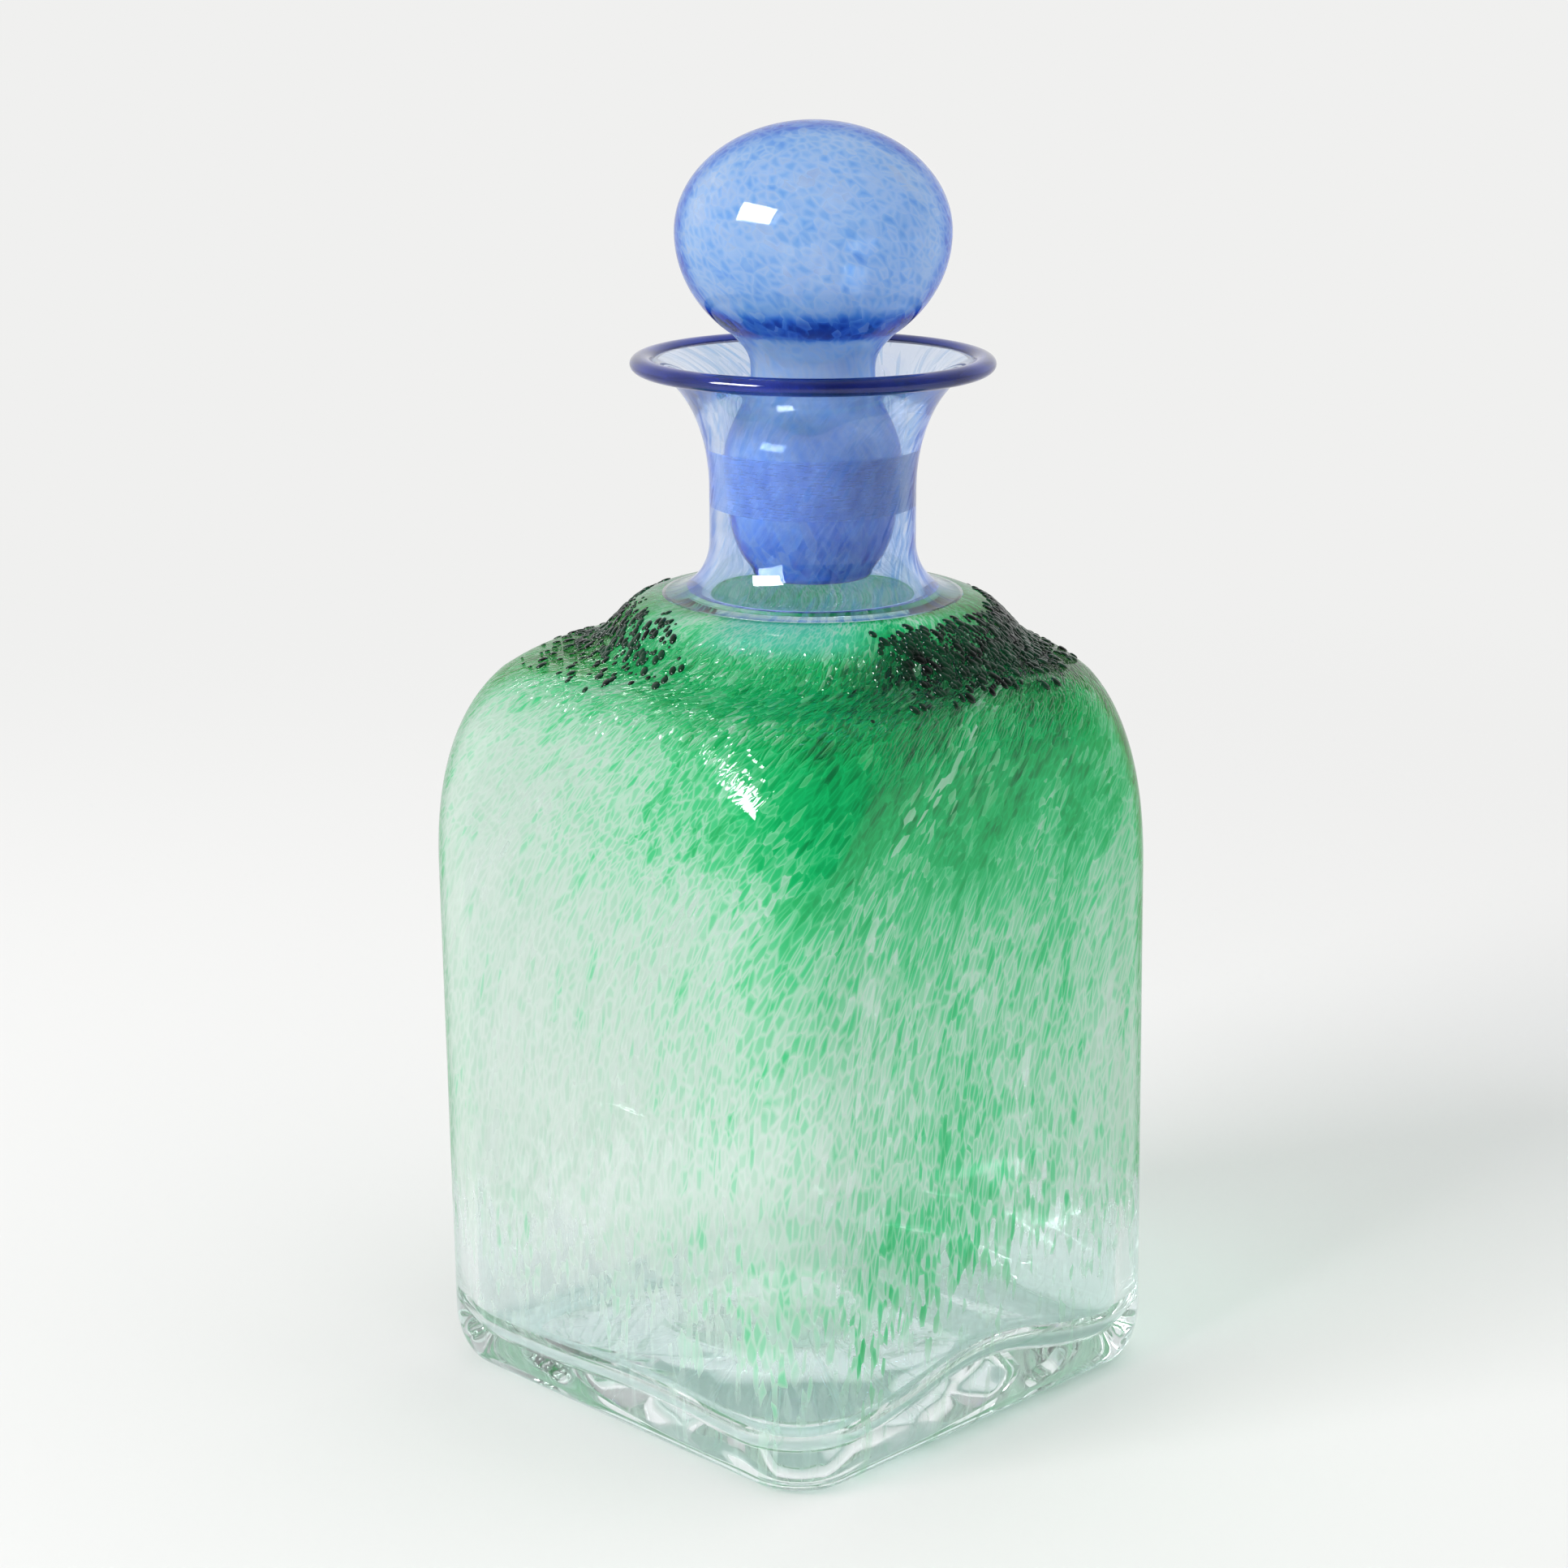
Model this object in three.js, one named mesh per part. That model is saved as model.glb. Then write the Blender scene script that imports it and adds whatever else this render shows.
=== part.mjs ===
// A hand-blown square decanter: a clear vessel under a coat of green crushed glass, a flared blue neck
// with a cobalt lip wrap, and a hollow blue stopper in a ground seat. Millimetres, +Z up, origin at the
// centre of the base. The vessel's flat sides face X and Y.
import * as THREE from "three";

// Vessel
const BODY_SIDE = 105; // across the flats
const CORNER_RADIUS = 15; // upright corners, seen from above
const BASE_EDGE_INSET = 6; // rounding between the underside and the sides
const BASE_EDGE_RISE = 11;
const SIDE_HEIGHT = 101.4; // where the sides start to turn in to the shoulder
const SHOULDER_RISE = 43;
const SHOULDER_FULLNESS = 2.25; // superellipse exponent: 2 is a plain ellipse, more is squarer
const COLLAR_WIDTH = 15.5; // from the seam out to where the collar meets the shoulder
const COLLAR_RISE = 11;
const BODY_LEAN = 0.0143; // sideways drift of a freehand vessel per millimetre of height
const NECK_OFFSET = 3.3; // the neck stands this far off the vessel's centre, towards one corner
const WALL = 4;
const SHOULDER_WALL = 4.6;
const INNER_CORNER_RADIUS = 12.5;
const FLOOR_CENTRE = 18; // glass under the middle of the cavity
const FLOOR_MID_SIDE = 10; // and under the middle of each side
const FLOOR_UNEVEN = 3.2; // more of it on the side the neck leans to, less opposite
const FLOOR_CORNER = 6.5; // and in the corners, where the bubble ran deepest
const FLOOR_FILLET = 8;
const PONTIL_RADIUS = 14; // dish ground where the rod was broken off
const PONTIL_DEPTH = 1.2;

// Raised crushed glass on the shoulder
const FRIT_THICKNESS = 0.9;
const FRIT_LOWER_EDGE = 0.37; // share of the way round the shoulder's turn, from its foot
const FRIT_UPPER_EDGE = 0.7; // share of the way up the collar

// Neck and lip
const BORE_RADIUS = 16.8; // at the top of the ground seat
const NECK_WALL = 2.7;
const SEAM_WALL = 5.5; // glass where the neck is joined to the vessel
const THROAT_STEP = 6.2; // the throat is this much wider than the bore
const NECK_FOOT_RISE = 10;
const SEAT_START = 16.5; // height of the ground seat above the seam
const SEAT_LENGTH = 11.5;
const SEAT_TAPER = 0.05; // radius lost per millimetre going down
const NECK_HEIGHT = 43.5; // seam to the underside of the flare's edge
const FLARE_RISE = 23.5;
const FLARE_WIDTH = 14.5;
const FLARE_EDGE = 1.7; // thickness of the flare where the lip wrap starts
const LIP_WIDTH = 3.8;
const LIP_HEIGHT = 3.3;

// Stopper
const BULB_RADIUS = 25.75;
const BULB_TOP = 20.3; // crown above the widest part
const BULB_BOTTOM = 23.2; // depth of the bulb's lower half before it turns into the waist
const BULB_WALL = 5;
const WAIST_RADIUS = 11.7;
const WAIST_WALL = 5;
const WAIST_RISE = 11; // waist's narrowest point above the ground seat
const WAIST_LENGTH = 10.2; // from there up to the bulb
const PLUG_SHOULDER = 5.5; // height of the plug's rounded shoulder over the seat
const PLUG_TIP_LENGTH = 13.5; // below the ground seat
const PLUG_TIP_RADIUS = 11.3;
const PLUG_WALL = 5.5;
const PLUG_MOUTH_WALL = 4; // glass round the open lower end

const FIT = 0.3; // clearance between glass that meets: fused seams and the stopper in its seat

// How the curves run out of their ends: shares of the lengths that they span
const ROUND_HANDLE = 0.5523; // makes a curve a quarter of an ellipse
const COLLAR_CURVE = { footIn: 0.35, footUp: 0.22, seamOut: 0.55, seamDown: 0.1 };
const THROAT_CURVE = { seamOut: 0.1, seamDown: 0.8, wallIn: 0.5, wallUp: 0.1 };
const FLARE_STOP = 0.27; // the flare stops this far short of level, where the lip wrap takes over
const MOUTH_CURVE = { rimIn: 0.5, rimUp: 0.4, seatUp: 0.3 };
const NECK_FOOT_CURVE = { seatDown: 0.62, footIn: 0.62, footUp: 0.1 };
const BULB_TURN = 0.8; // how deep into its lower half the bulb stays round before the waist takes over
const HOLLOW_CURVE = { waistUp: 0.9, waistDown: 0.4, plugUp: 0.6, mouth: 0.3 };
const PLUG_CURVE = { tipUp: 3, seatDown: 0.4, shoulderUp: 1.1, waistDown: 0.7 };
const WAIST_CURVE = { waistUp: 0.45, bulbIn: 0.45, bulbDown: 0.42 };

// Facets
const RING_STEPS = 56;
const CORNER_CROWDING = 0.5; // share by which a square ring's points crowd into its corners
const STOPPER_FACETS = { around: 32, curve: 4 };
const NECK_FACETS = { around: 20, curve: 3, ellipse: 4 }; // few enough that collision keeps the bore open
const MERGE = 1e-3;

// Heights and radii that follow from the sizes above
const half = BODY_SIDE / 2;
const throatRadius = BORE_RADIUS + THROAT_STEP;
const seamRadius = throatRadius + SEAM_WALL;
const collarRadius = seamRadius + COLLAR_WIDTH;
const shoulderTop = SIDE_HEIGHT + SHOULDER_RISE;
const seamHeight = shoulderTop + COLLAR_RISE;
const neckRadius = BORE_RADIUS + NECK_WALL;
const neckBase = seamHeight + FIT;
const seatBottom = seamHeight + SEAT_START;
const seatTop = seatBottom + SEAT_LENGTH;
const lipBottom = seamHeight + NECK_HEIGHT;

const cornerward = new THREE.Vector2(1, 1).normalize();
const neckCentre = cornerward.clone().multiplyScalar(NECK_OFFSET);

/** Centre of the vessel's section at a height: it drifts about the middle of the sides. */
function leanCentre(z) {
  return cornerward.clone().multiplyScalar(-BODY_LEAN * (z - SIDE_HEIGHT / 2));
}

/** Polar radius of a rounded square. */
function squareRadius(angle, side, corner) {
  const c = Math.abs(Math.cos(angle));
  const s = Math.abs(Math.sin(angle));
  const straight = side - corner;
  if (Math.min(c, s) * side <= straight * Math.max(c, s)) return side / Math.max(c, s);
  const along = straight * (c + s);
  return along + Math.sqrt(Math.max(0, along * along - 2 * straight * straight + corner * corner));
}

/** One closed ring of points. height may vary with the angle. */
function ring({ side, corner, centre, height }) {
  return Array.from({ length: RING_STEPS }, (_, i) => {
    const t = (i / RING_STEPS) * 2 * Math.PI;
    const angle = t + (CORNER_CROWDING / 4) * Math.sin(4 * t);
    const r = squareRadius(angle, side, Math.min(corner, side));
    const z = typeof height === "function" ? height(angle) : height;
    return new THREE.Vector3(centre.x + r * Math.cos(angle), centre.y + r * Math.sin(angle), z);
  });
}

function circle(radius, height, centre = neckCentre) {
  return ring({ side: radius, corner: radius, centre, height });
}

/** Skin over rings, closed by a point at each end or by joining the last ring to the first. */
function loft(rings, { start, end } = {}) {
  const points = rings.flat();
  const index = [];
  const at = (k, i) => k * RING_STEPS + (i % RING_STEPS);
  const bands = start ? rings.length - 1 : rings.length;
  for (let k = 0; k < bands; k++) {
    const next = (k + 1) % rings.length;
    for (let i = 0; i < RING_STEPS; i++) {
      const [a, b, c, d] = [at(k, i), at(k, i + 1), at(next, i + 1), at(next, i)];
      const splitAtA = points[a].distanceTo(points[c]) < points[b].distanceTo(points[d]);
      index.push(...(splitAtA ? [a, b, c, a, c, d] : [a, b, d, b, c, d]));
    }
  }
  if (start) {
    const first = points.push(start) - 1;
    const last = points.push(end) - 1;
    for (let i = 0; i < RING_STEPS; i++) {
      index.push(first, at(0, i + 1), at(0, i));
      index.push(last, at(rings.length - 1, i), at(rings.length - 1, i + 1));
    }
  }
  return new THREE.BufferGeometry().setFromPoints(points).setIndex(index);
}

/** Rings moved out along the skin's own normals, by a distance for each ring. */
function offset(rings, distances) {
  return rings.map((points, k) => {
    const below = rings[Math.max(k - 1, 0)];
    const above = rings[Math.min(k + 1, rings.length - 1)];
    return points.map((p, i) => {
      const behind = points[(i + RING_STEPS - 1) % RING_STEPS];
      const around = points[(i + 1) % RING_STEPS].clone().sub(behind);
      const up = above[i].clone().sub(below[i]);
      return p.clone().addScaledVector(around.cross(up).normalize(), distances[k]);
    });
  });
}

/** Evenly spaced values, both ends included. */
function steps(n, from = 0, to = 1) {
  return Array.from({ length: n + 1 }, (_, i) => from + ((to - from) * i) / n);
}

/** Shoulder ring: the rounded square closes to the collar's circle along a superellipse. */
function shoulderRing(turn, { side, corner, radius, foot, top }) {
  const shrink = Math.cos(turn * (Math.PI / 2)) ** (2 / SHOULDER_FULLNESS);
  const rise = Math.sin(turn * (Math.PI / 2)) ** (2 / SHOULDER_FULLNESS);
  const z = foot + (top - foot) * rise;
  return ring({
    side: radius + (side - radius) * shrink,
    corner: radius + (corner - radius) * shrink,
    centre: neckCentre.clone().lerp(leanCentre(z), Math.sqrt(shrink)),
    height: z,
  });
}

const shoulderSizes = {
  side: half,
  corner: CORNER_RADIUS,
  radius: collarRadius,
  foot: SIDE_HEIGHT,
  top: shoulderTop,
};

/** Collar profile, from the shoulder at 0 to the seam at 1. */
const collar = new THREE.CubicBezierCurve(
  new THREE.Vector2(collarRadius, shoulderTop),
  new THREE.Vector2(
    collarRadius - COLLAR_WIDTH * COLLAR_CURVE.footIn,
    shoulderTop + COLLAR_RISE * COLLAR_CURVE.footUp,
  ),
  new THREE.Vector2(
    seamRadius + COLLAR_WIDTH * COLLAR_CURVE.seamOut,
    seamHeight - COLLAR_RISE * COLLAR_CURVE.seamDown,
  ),
  new THREE.Vector2(seamRadius, seamHeight),
);
const collarRing = (t) => circle(collar.getPoint(t).x, collar.getPoint(t).y);
const shoulderTurns = steps(8);
const collarTurns = steps(6).slice(1);

/** The vessel: underside, sides, shoulder and collar outside, then throat, walls and domed floor inside. */
function makeVessel() {
  const rings = [];
  for (const t of steps(2, 0.5, 1)) {
    rings.push(circle(PONTIL_RADIUS * t, PONTIL_DEPTH * (1 - t * t), new THREE.Vector2()));
  }
  for (const t of steps(4)) {
    const turn = t * (Math.PI / 2);
    const inset = BASE_EDGE_INSET * (1 - Math.sin(turn));
    const z = BASE_EDGE_RISE * (1 - Math.cos(turn));
    const corner = CORNER_RADIUS - inset;
    rings.push(ring({ side: half - inset, corner, centre: leanCentre(z), height: z }));
  }
  for (const t of shoulderTurns) rings.push(shoulderRing(t, shoulderSizes));
  for (const t of collarTurns) rings.push(collarRing(t));

  const innerTop = shoulderTop - SHOULDER_WALL;
  const innerSide = half - WALL;
  const innerCollar = collarRadius - WALL;
  const throat = new THREE.CubicBezierCurve(
    new THREE.Vector2(throatRadius, seamHeight),
    new THREE.Vector2(
      throatRadius + COLLAR_WIDTH * THROAT_CURVE.seamOut,
      seamHeight - COLLAR_RISE * THROAT_CURVE.seamDown,
    ),
    new THREE.Vector2(
      innerCollar - COLLAR_WIDTH * THROAT_CURVE.wallIn,
      innerTop + COLLAR_RISE * THROAT_CURVE.wallUp,
    ),
    new THREE.Vector2(innerCollar, innerTop),
  );
  for (const p of throat.getPoints(6)) rings.push(circle(p.x, p.y));
  const innerShoulder = {
    side: innerSide,
    corner: INNER_CORNER_RADIUS,
    radius: innerCollar,
    foot: SIDE_HEIGHT,
    top: innerTop,
  };
  for (const t of steps(7, 1, 0).slice(1)) rings.push(shoulderRing(t, innerShoulder));

  const floorEdge = (angle) => {
    const midSide = FLOOR_MID_SIDE + FLOOR_UNEVEN * Math.cos(angle - cornerward.angle());
    return midSide + (FLOOR_CORNER - midSide) * Math.sin(2 * angle) ** 2;
  };
  for (const t of steps(4)) {
    const turn = t * (Math.PI / 2);
    const inset = FLOOR_FILLET * (1 - Math.cos(turn));
    rings.push(
      ring({
        side: innerSide - inset,
        corner: INNER_CORNER_RADIUS - inset / 2,
        centre: leanCentre(FLOOR_MID_SIDE),
        height: (angle) => floorEdge(angle) + FLOOR_FILLET * (1 - Math.sin(turn)),
      }),
    );
  }
  const floorSide = innerSide - FLOOR_FILLET;
  for (const t of steps(4, 1, 0.2).slice(1)) {
    rings.push(
      ring({
        side: floorSide * t,
        corner: INNER_CORNER_RADIUS * t,
        centre: leanCentre(FLOOR_MID_SIDE),
        height: (angle) => FLOOR_CENTRE + (floorEdge(angle) - FLOOR_CENTRE) * t * t,
      }),
    );
  }
  const floorMiddle = leanCentre(FLOOR_MID_SIDE);
  return loft(rings, {
    start: new THREE.Vector3(0, 0, PONTIL_DEPTH),
    end: new THREE.Vector3(floorMiddle.x, floorMiddle.y, FLOOR_CENTRE),
  });
}

/** Crust of half-melted crushed glass that stands proud round the neck and thins out down the shoulder. */
function makeShoulderFrit() {
  const under = [
    ...shoulderTurns.filter((t) => t >= FRIT_LOWER_EDGE).map((t) => shoulderRing(t, shoulderSizes)),
    ...collarTurns.filter((t) => t <= FRIT_UPPER_EDGE).map(collarRing),
  ];
  const feather = under.map((_, k) => Math.sin((Math.PI * (k + 0.5)) / under.length));
  const outer = offset(under, feather.map((f) => FIT + FRIT_THICKNESS * f));
  const inner = offset(under, feather.map(() => FIT));
  return loft([...outer, ...inner.reverse()]);
}

/** Solid of revolution from a profile of (radius, height), with its doubled points dropped. */
function revolve(path, { around, curve, ellipse = 2 * curve }) {
  const points = path.curves.flatMap((part) => {
    if (part.isLineCurve) return part.getPoints(1);
    return part.getPoints(part.isEllipseCurve ? ellipse : curve);
  });
  const kept = points.filter((p, i) => i === 0 || p.distanceTo(points[i - 1]) > MERGE);
  return new THREE.LatheGeometry(kept, around).rotateX(Math.PI / 2);
}

const flareCentre = neckRadius + FLARE_WIDTH;
const flareEnd = Math.acos(FLARE_STOP);
const flareBase = lipBottom - FLARE_RISE;
const flareTip = new THREE.Vector2(
  flareCentre - FLARE_WIDTH * Math.cos(flareEnd),
  flareBase + FLARE_RISE * Math.sin(flareEnd),
);
const boreBottom = BORE_RADIUS - SEAT_TAPER * SEAT_LENGTH;

/** The neck: foot, stem and trumpet outside, then the flared mouth and the ground seat inside. */
function makeNeck() {
  const path = new THREE.Path();
  path.moveTo(throatRadius, neckBase);
  path.lineTo(seamRadius, neckBase);
  const footWidth = seamRadius - neckRadius;
  const footTop = neckBase + NECK_FOOT_RISE;
  path.bezierCurveTo(
    seamRadius - footWidth * ROUND_HANDLE, neckBase,
    neckRadius, footTop - NECK_FOOT_RISE * ROUND_HANDLE,
    neckRadius, footTop,
  );
  path.absellipse(flareCentre, flareBase, FLARE_WIDTH, FLARE_RISE, Math.PI, Math.PI - flareEnd, true);
  path.lineTo(flareTip.x, flareTip.y + FLARE_EDGE);
  path.bezierCurveTo(
    flareTip.x - FLARE_WIDTH * MOUTH_CURVE.rimIn, flareTip.y + FLARE_EDGE * MOUTH_CURVE.rimUp,
    BORE_RADIUS, seatTop + FLARE_RISE * MOUTH_CURVE.seatUp,
    BORE_RADIUS, seatTop,
  );
  path.lineTo(boreBottom, seatBottom);
  path.bezierCurveTo(
    boreBottom, seatBottom - SEAT_START * NECK_FOOT_CURVE.seatDown,
    throatRadius - (throatRadius - boreBottom) * NECK_FOOT_CURVE.footIn,
    neckBase + SEAT_START * NECK_FOOT_CURVE.footUp,
    throatRadius, neckBase,
  );
  return revolve(path, NECK_FACETS);
}

/** The lip wrap: a thread of cobalt glass wound on the flare's edge, flat inside and round outside. */
function makeLipWrap() {
  const root = flareTip.x + FIT;
  const middle = flareTip.y + FLARE_EDGE / 2;
  const path = new THREE.Path();
  path.moveTo(root, middle - LIP_HEIGHT / 2);
  path.absellipse(root, middle, LIP_WIDTH, LIP_HEIGHT / 2, -Math.PI / 2, Math.PI / 2, false);
  path.lineTo(root, middle - LIP_HEIGHT / 2);
  return revolve(path, NECK_FACETS);
}

/** The stopper: a blown bulb, waist and ground plug in one hollow piece, open at its lower end. */
function makeStopper() {
  const plugTop = BORE_RADIUS - FIT;
  const plugBottom = boreBottom - FIT;
  const tip = seatBottom - PLUG_TIP_LENGTH;
  const tipRound = PLUG_MOUTH_WALL / 2;
  const waist = seatTop + WAIST_RISE;
  const equator = waist + WAIST_LENGTH + BULB_BOTTOM * BULB_TURN;
  const join = Math.asin(BULB_TURN);
  const bulbFoot = new THREE.Vector2(BULB_RADIUS * Math.cos(join), equator - BULB_BOTTOM * Math.sin(join));
  const waistBore = WAIST_RADIUS - WAIST_WALL;
  const plugBore = plugBottom - PLUG_WALL;
  const mouth = PLUG_TIP_RADIUS - PLUG_MOUTH_WALL;

  const path = new THREE.Path();
  path.moveTo(0, equator + BULB_TOP - BULB_WALL);
  path.absellipse(0, equator, BULB_RADIUS - BULB_WALL, BULB_TOP - BULB_WALL, Math.PI / 2, 0, true);
  path.bezierCurveTo(
    BULB_RADIUS - BULB_WALL, waist + WAIST_LENGTH,
    waistBore, waist + WAIST_LENGTH * HOLLOW_CURVE.waistUp,
    waistBore, waist,
  );
  path.bezierCurveTo(
    waistBore, seatTop + PLUG_SHOULDER * HOLLOW_CURVE.waistDown,
    plugBore, seatTop + PLUG_SHOULDER * HOLLOW_CURVE.plugUp,
    plugBore, (seatBottom + seatTop) / 2,
  );
  path.bezierCurveTo(
    plugBore, seatBottom - PLUG_TIP_LENGTH * HOLLOW_CURVE.mouth,
    mouth, seatBottom - PLUG_TIP_LENGTH * HOLLOW_CURVE.mouth,
    mouth, tip + tipRound,
  );
  path.absellipse(mouth + tipRound, tip + tipRound, tipRound, tipRound, Math.PI, 2 * Math.PI, false);
  path.bezierCurveTo(
    PLUG_TIP_RADIUS + tipRound, tip + tipRound * PLUG_CURVE.tipUp,
    plugBottom - SEAT_TAPER * PLUG_TIP_LENGTH, seatBottom - PLUG_TIP_LENGTH * PLUG_CURVE.seatDown,
    plugBottom, seatBottom,
  );
  path.lineTo(plugTop, seatTop);
  path.bezierCurveTo(
    plugTop, seatTop + PLUG_SHOULDER * PLUG_CURVE.shoulderUp,
    WAIST_RADIUS, waist - (WAIST_RISE - PLUG_SHOULDER) * PLUG_CURVE.waistDown,
    WAIST_RADIUS, waist,
  );
  path.bezierCurveTo(
    WAIST_RADIUS, waist + WAIST_LENGTH * WAIST_CURVE.waistUp,
    bulbFoot.x - WAIST_LENGTH * WAIST_CURVE.bulbIn, bulbFoot.y - WAIST_LENGTH * WAIST_CURVE.bulbDown,
    bulbFoot.x, bulbFoot.y,
  );
  path.absellipse(0, equator, BULB_RADIUS, BULB_BOTTOM, -join, 0, false);
  path.absellipse(0, equator, BULB_RADIUS, BULB_TOP, 0, Math.PI / 2, false);
  return revolve(path, STOPPER_FACETS);
}

/** One named piece of glass. */
function piece(name, geometry, color, roughness, opacity) {
  const look = { color, roughness, metalness: 0, opacity, transparent: true };
  const material = new THREE.MeshStandardMaterial(look);
  geometry.computeVertexNormals();
  const mesh = new THREE.Mesh(geometry, material);
  mesh.name = name;
  return mesh;
}

const decanter = new THREE.Group();
decanter.add(piece("vessel", makeVessel(), "#9fd8b8", 0.04, 0.6));
decanter.add(piece("shoulder_frit", makeShoulderFrit(), "#1d8a55", 0.15, 0.85));

const onNeckAxis = new THREE.Group();
onNeckAxis.position.set(neckCentre.x, neckCentre.y, 0);
onNeckAxis.add(piece("neck", makeNeck(), "#9db6e4", 0.04, 0.5));
onNeckAxis.add(piece("lip_wrap", makeLipWrap(), "#27308f", 0.04, 0.9));
onNeckAxis.add(piece("stopper", makeStopper(), "#6ea3e0", 0.05, 0.75));
decanter.add(onNeckAxis);

export default decanter;
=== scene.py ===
"""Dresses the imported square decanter: mottled green glass, clear base, blue neck, cobalt lip, ball stopper.

Lengths are in millimetres in the classes and become metres where a mesh is made.
"""

import logging
import math
from dataclasses import dataclass, field
from enum import Enum
from typing import Any, Sequence

import bmesh
import bpy
import numpy as np
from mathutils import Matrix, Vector


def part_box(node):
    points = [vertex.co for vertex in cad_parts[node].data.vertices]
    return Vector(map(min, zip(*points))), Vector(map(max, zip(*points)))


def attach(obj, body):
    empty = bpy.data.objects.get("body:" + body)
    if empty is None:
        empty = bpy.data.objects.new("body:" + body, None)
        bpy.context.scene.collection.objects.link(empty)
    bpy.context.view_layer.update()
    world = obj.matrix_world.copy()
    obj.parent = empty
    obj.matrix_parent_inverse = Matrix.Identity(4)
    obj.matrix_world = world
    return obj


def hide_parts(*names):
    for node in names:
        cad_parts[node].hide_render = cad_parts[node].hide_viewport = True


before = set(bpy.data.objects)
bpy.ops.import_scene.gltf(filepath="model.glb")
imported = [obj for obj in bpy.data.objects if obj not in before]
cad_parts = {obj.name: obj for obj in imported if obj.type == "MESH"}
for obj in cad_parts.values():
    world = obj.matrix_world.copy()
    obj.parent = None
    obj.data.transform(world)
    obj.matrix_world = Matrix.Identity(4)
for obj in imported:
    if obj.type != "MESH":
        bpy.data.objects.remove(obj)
log = logging.getLogger("decanter")

MM = 0.001
HALF_TURN = math.pi
RIGHT_ANGLE = math.pi / 2
CORNERWARD = np.array([1.0, 1.0]) / math.sqrt(2)
CORNER_ANGLE = math.pi / 4

# Colours of a coat from thin to deep, by share of the deepest.
GREEN_STOPS = ((0.0, "#e8f1eb"), (0.16, "#d0e9da"), (0.32, "#9be2ba"), (0.46, "#40d288"), (0.61, "#08ba63"),
               (0.72, "#02a050"), (0.8, "#02803f"), (1.0, "#03261a"))
BLUE_STOPS = ((0.0, "#d6e6f9"), (0.2, "#aed0f6"), (0.4, "#80b4ec"), (0.58, "#5290e2"), (0.72, "#3068d0"),
              (0.8, "#1c46a8"), (1.0, "#122a78"))
DEEPEST = 1.25

Profile = list[tuple[float, float]]


class Body(str, Enum):
    """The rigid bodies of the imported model."""

    BOTTLE = "bottle"
    STOPPER = "stopper"


class Slot(str, Enum):
    """The record's material slots."""

    VESSEL = "mottled_green_glass"
    FRIT = "dark_green_frit"
    NECK = "pale_blue_glass"
    LIP = "cobalt_glass"
    STOPPER = "mottled_blue_glass"


def linear(code: str) -> tuple[float, float, float, float]:
    """Turns an sRGB hex colour into linear values.

    Args:
        code: Six hex digits after a hash sign.

    Returns:
        Red, green, blue and full alpha.
    """
    parts = [int(code[i:i + 2], 16) / 255 for i in (1, 3, 5)]
    r, g, b = [c / 12.92 if c <= 0.04045 else ((c + 0.055) / 1.055) ** 2.4 for c in parts]
    return r, g, b, 1.0


def add(tree: bpy.types.NodeTree, kind: str, inputs: dict | None = None, **settings: Any) -> bpy.types.Node:
    """Adds one node with its settings and links.

    Args:
        tree: Tree that gets the node.
        kind: Blender's name of the node type.
        inputs: Socket name or number to a value, a socket, or a node whose first live output is linked.
        settings: Properties of the node itself.

    Returns:
        The new node.
    """
    node = tree.nodes.new(kind)
    for name, value in settings.items():
        setattr(node, name, value)
    for key, value in (inputs or {}).items():
        if isinstance(value, bpy.types.Node):
            value = next(socket for socket in value.outputs if socket.enabled)
        if isinstance(value, bpy.types.NodeSocket):
            tree.links.new(value, node.inputs[key])
        else:
            node.inputs[key].default_value = value
    return node


def new_material(name: str) -> tuple[bpy.types.Material, bpy.types.NodeTree]:
    """Makes a material with an empty node tree.

    Args:
        name: The material's name.

    Returns:
        The material and its tree.
    """
    material = bpy.data.materials.new(name)
    material.use_nodes = True
    material.node_tree.nodes.clear()
    return material, material.node_tree


def let_light_in(tree: bpy.types.NodeTree, surface: bpy.types.Node, colour: Any) -> bpy.types.Node:
    """Lets lamps shine straight through a glass surface, so that it casts a coloured shadow.

    Args:
        tree: The glass's tree.
        surface: Its shader for every other ray.
        colour: What it leaves of the light, as a value, a socket or a node.

    Returns:
        The shader for the material's output.
    """
    lamp = add(tree, "ShaderNodeLightPath").outputs["Is Shadow Ray"]
    passed = add(tree, "ShaderNodeBsdfTransparent", {"Color": colour})
    return add(tree, "ShaderNodeMixShader", {0: lamp, 1: surface, 2: passed})


def bezier(p0: Sequence[float], p1: Sequence[float], p2: Sequence[float], p3: Sequence[float],
           steps: int) -> Profile:
    """Points on a cubic curve, its start left out.

    Args:
        p0: Start.
        p1: First handle.
        p2: Second handle.
        p3: End.
        steps: Number of points.

    Returns:
        Points as (radius, height).
    """
    t = np.linspace(0, 1, steps + 1)[1:, None]
    curve = ((1 - t) ** 3 * np.array(p0) + 3 * (1 - t) ** 2 * t * np.array(p1)
             + 3 * (1 - t) * t ** 2 * np.array(p2) + t ** 3 * np.array(p3))
    return [(float(r), float(z)) for r, z in curve]


def arc(centre: Sequence[float], radii: Sequence[float], start: float, end: float, steps: int) -> Profile:
    """Points on a stretch of an ellipse, its start left out.

    Args:
        centre: Middle of the ellipse.
        radii: Half width and half height.
        start: Angle of the first point.
        end: Angle of the last point.
        steps: Number of points.

    Returns:
        Points as (radius, height).
    """
    turn = np.linspace(start, end, steps + 1)[1:]
    return [(centre[0] + radii[0] * math.cos(a), centre[1] + radii[1] * math.sin(a)) for a in turn]


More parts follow.
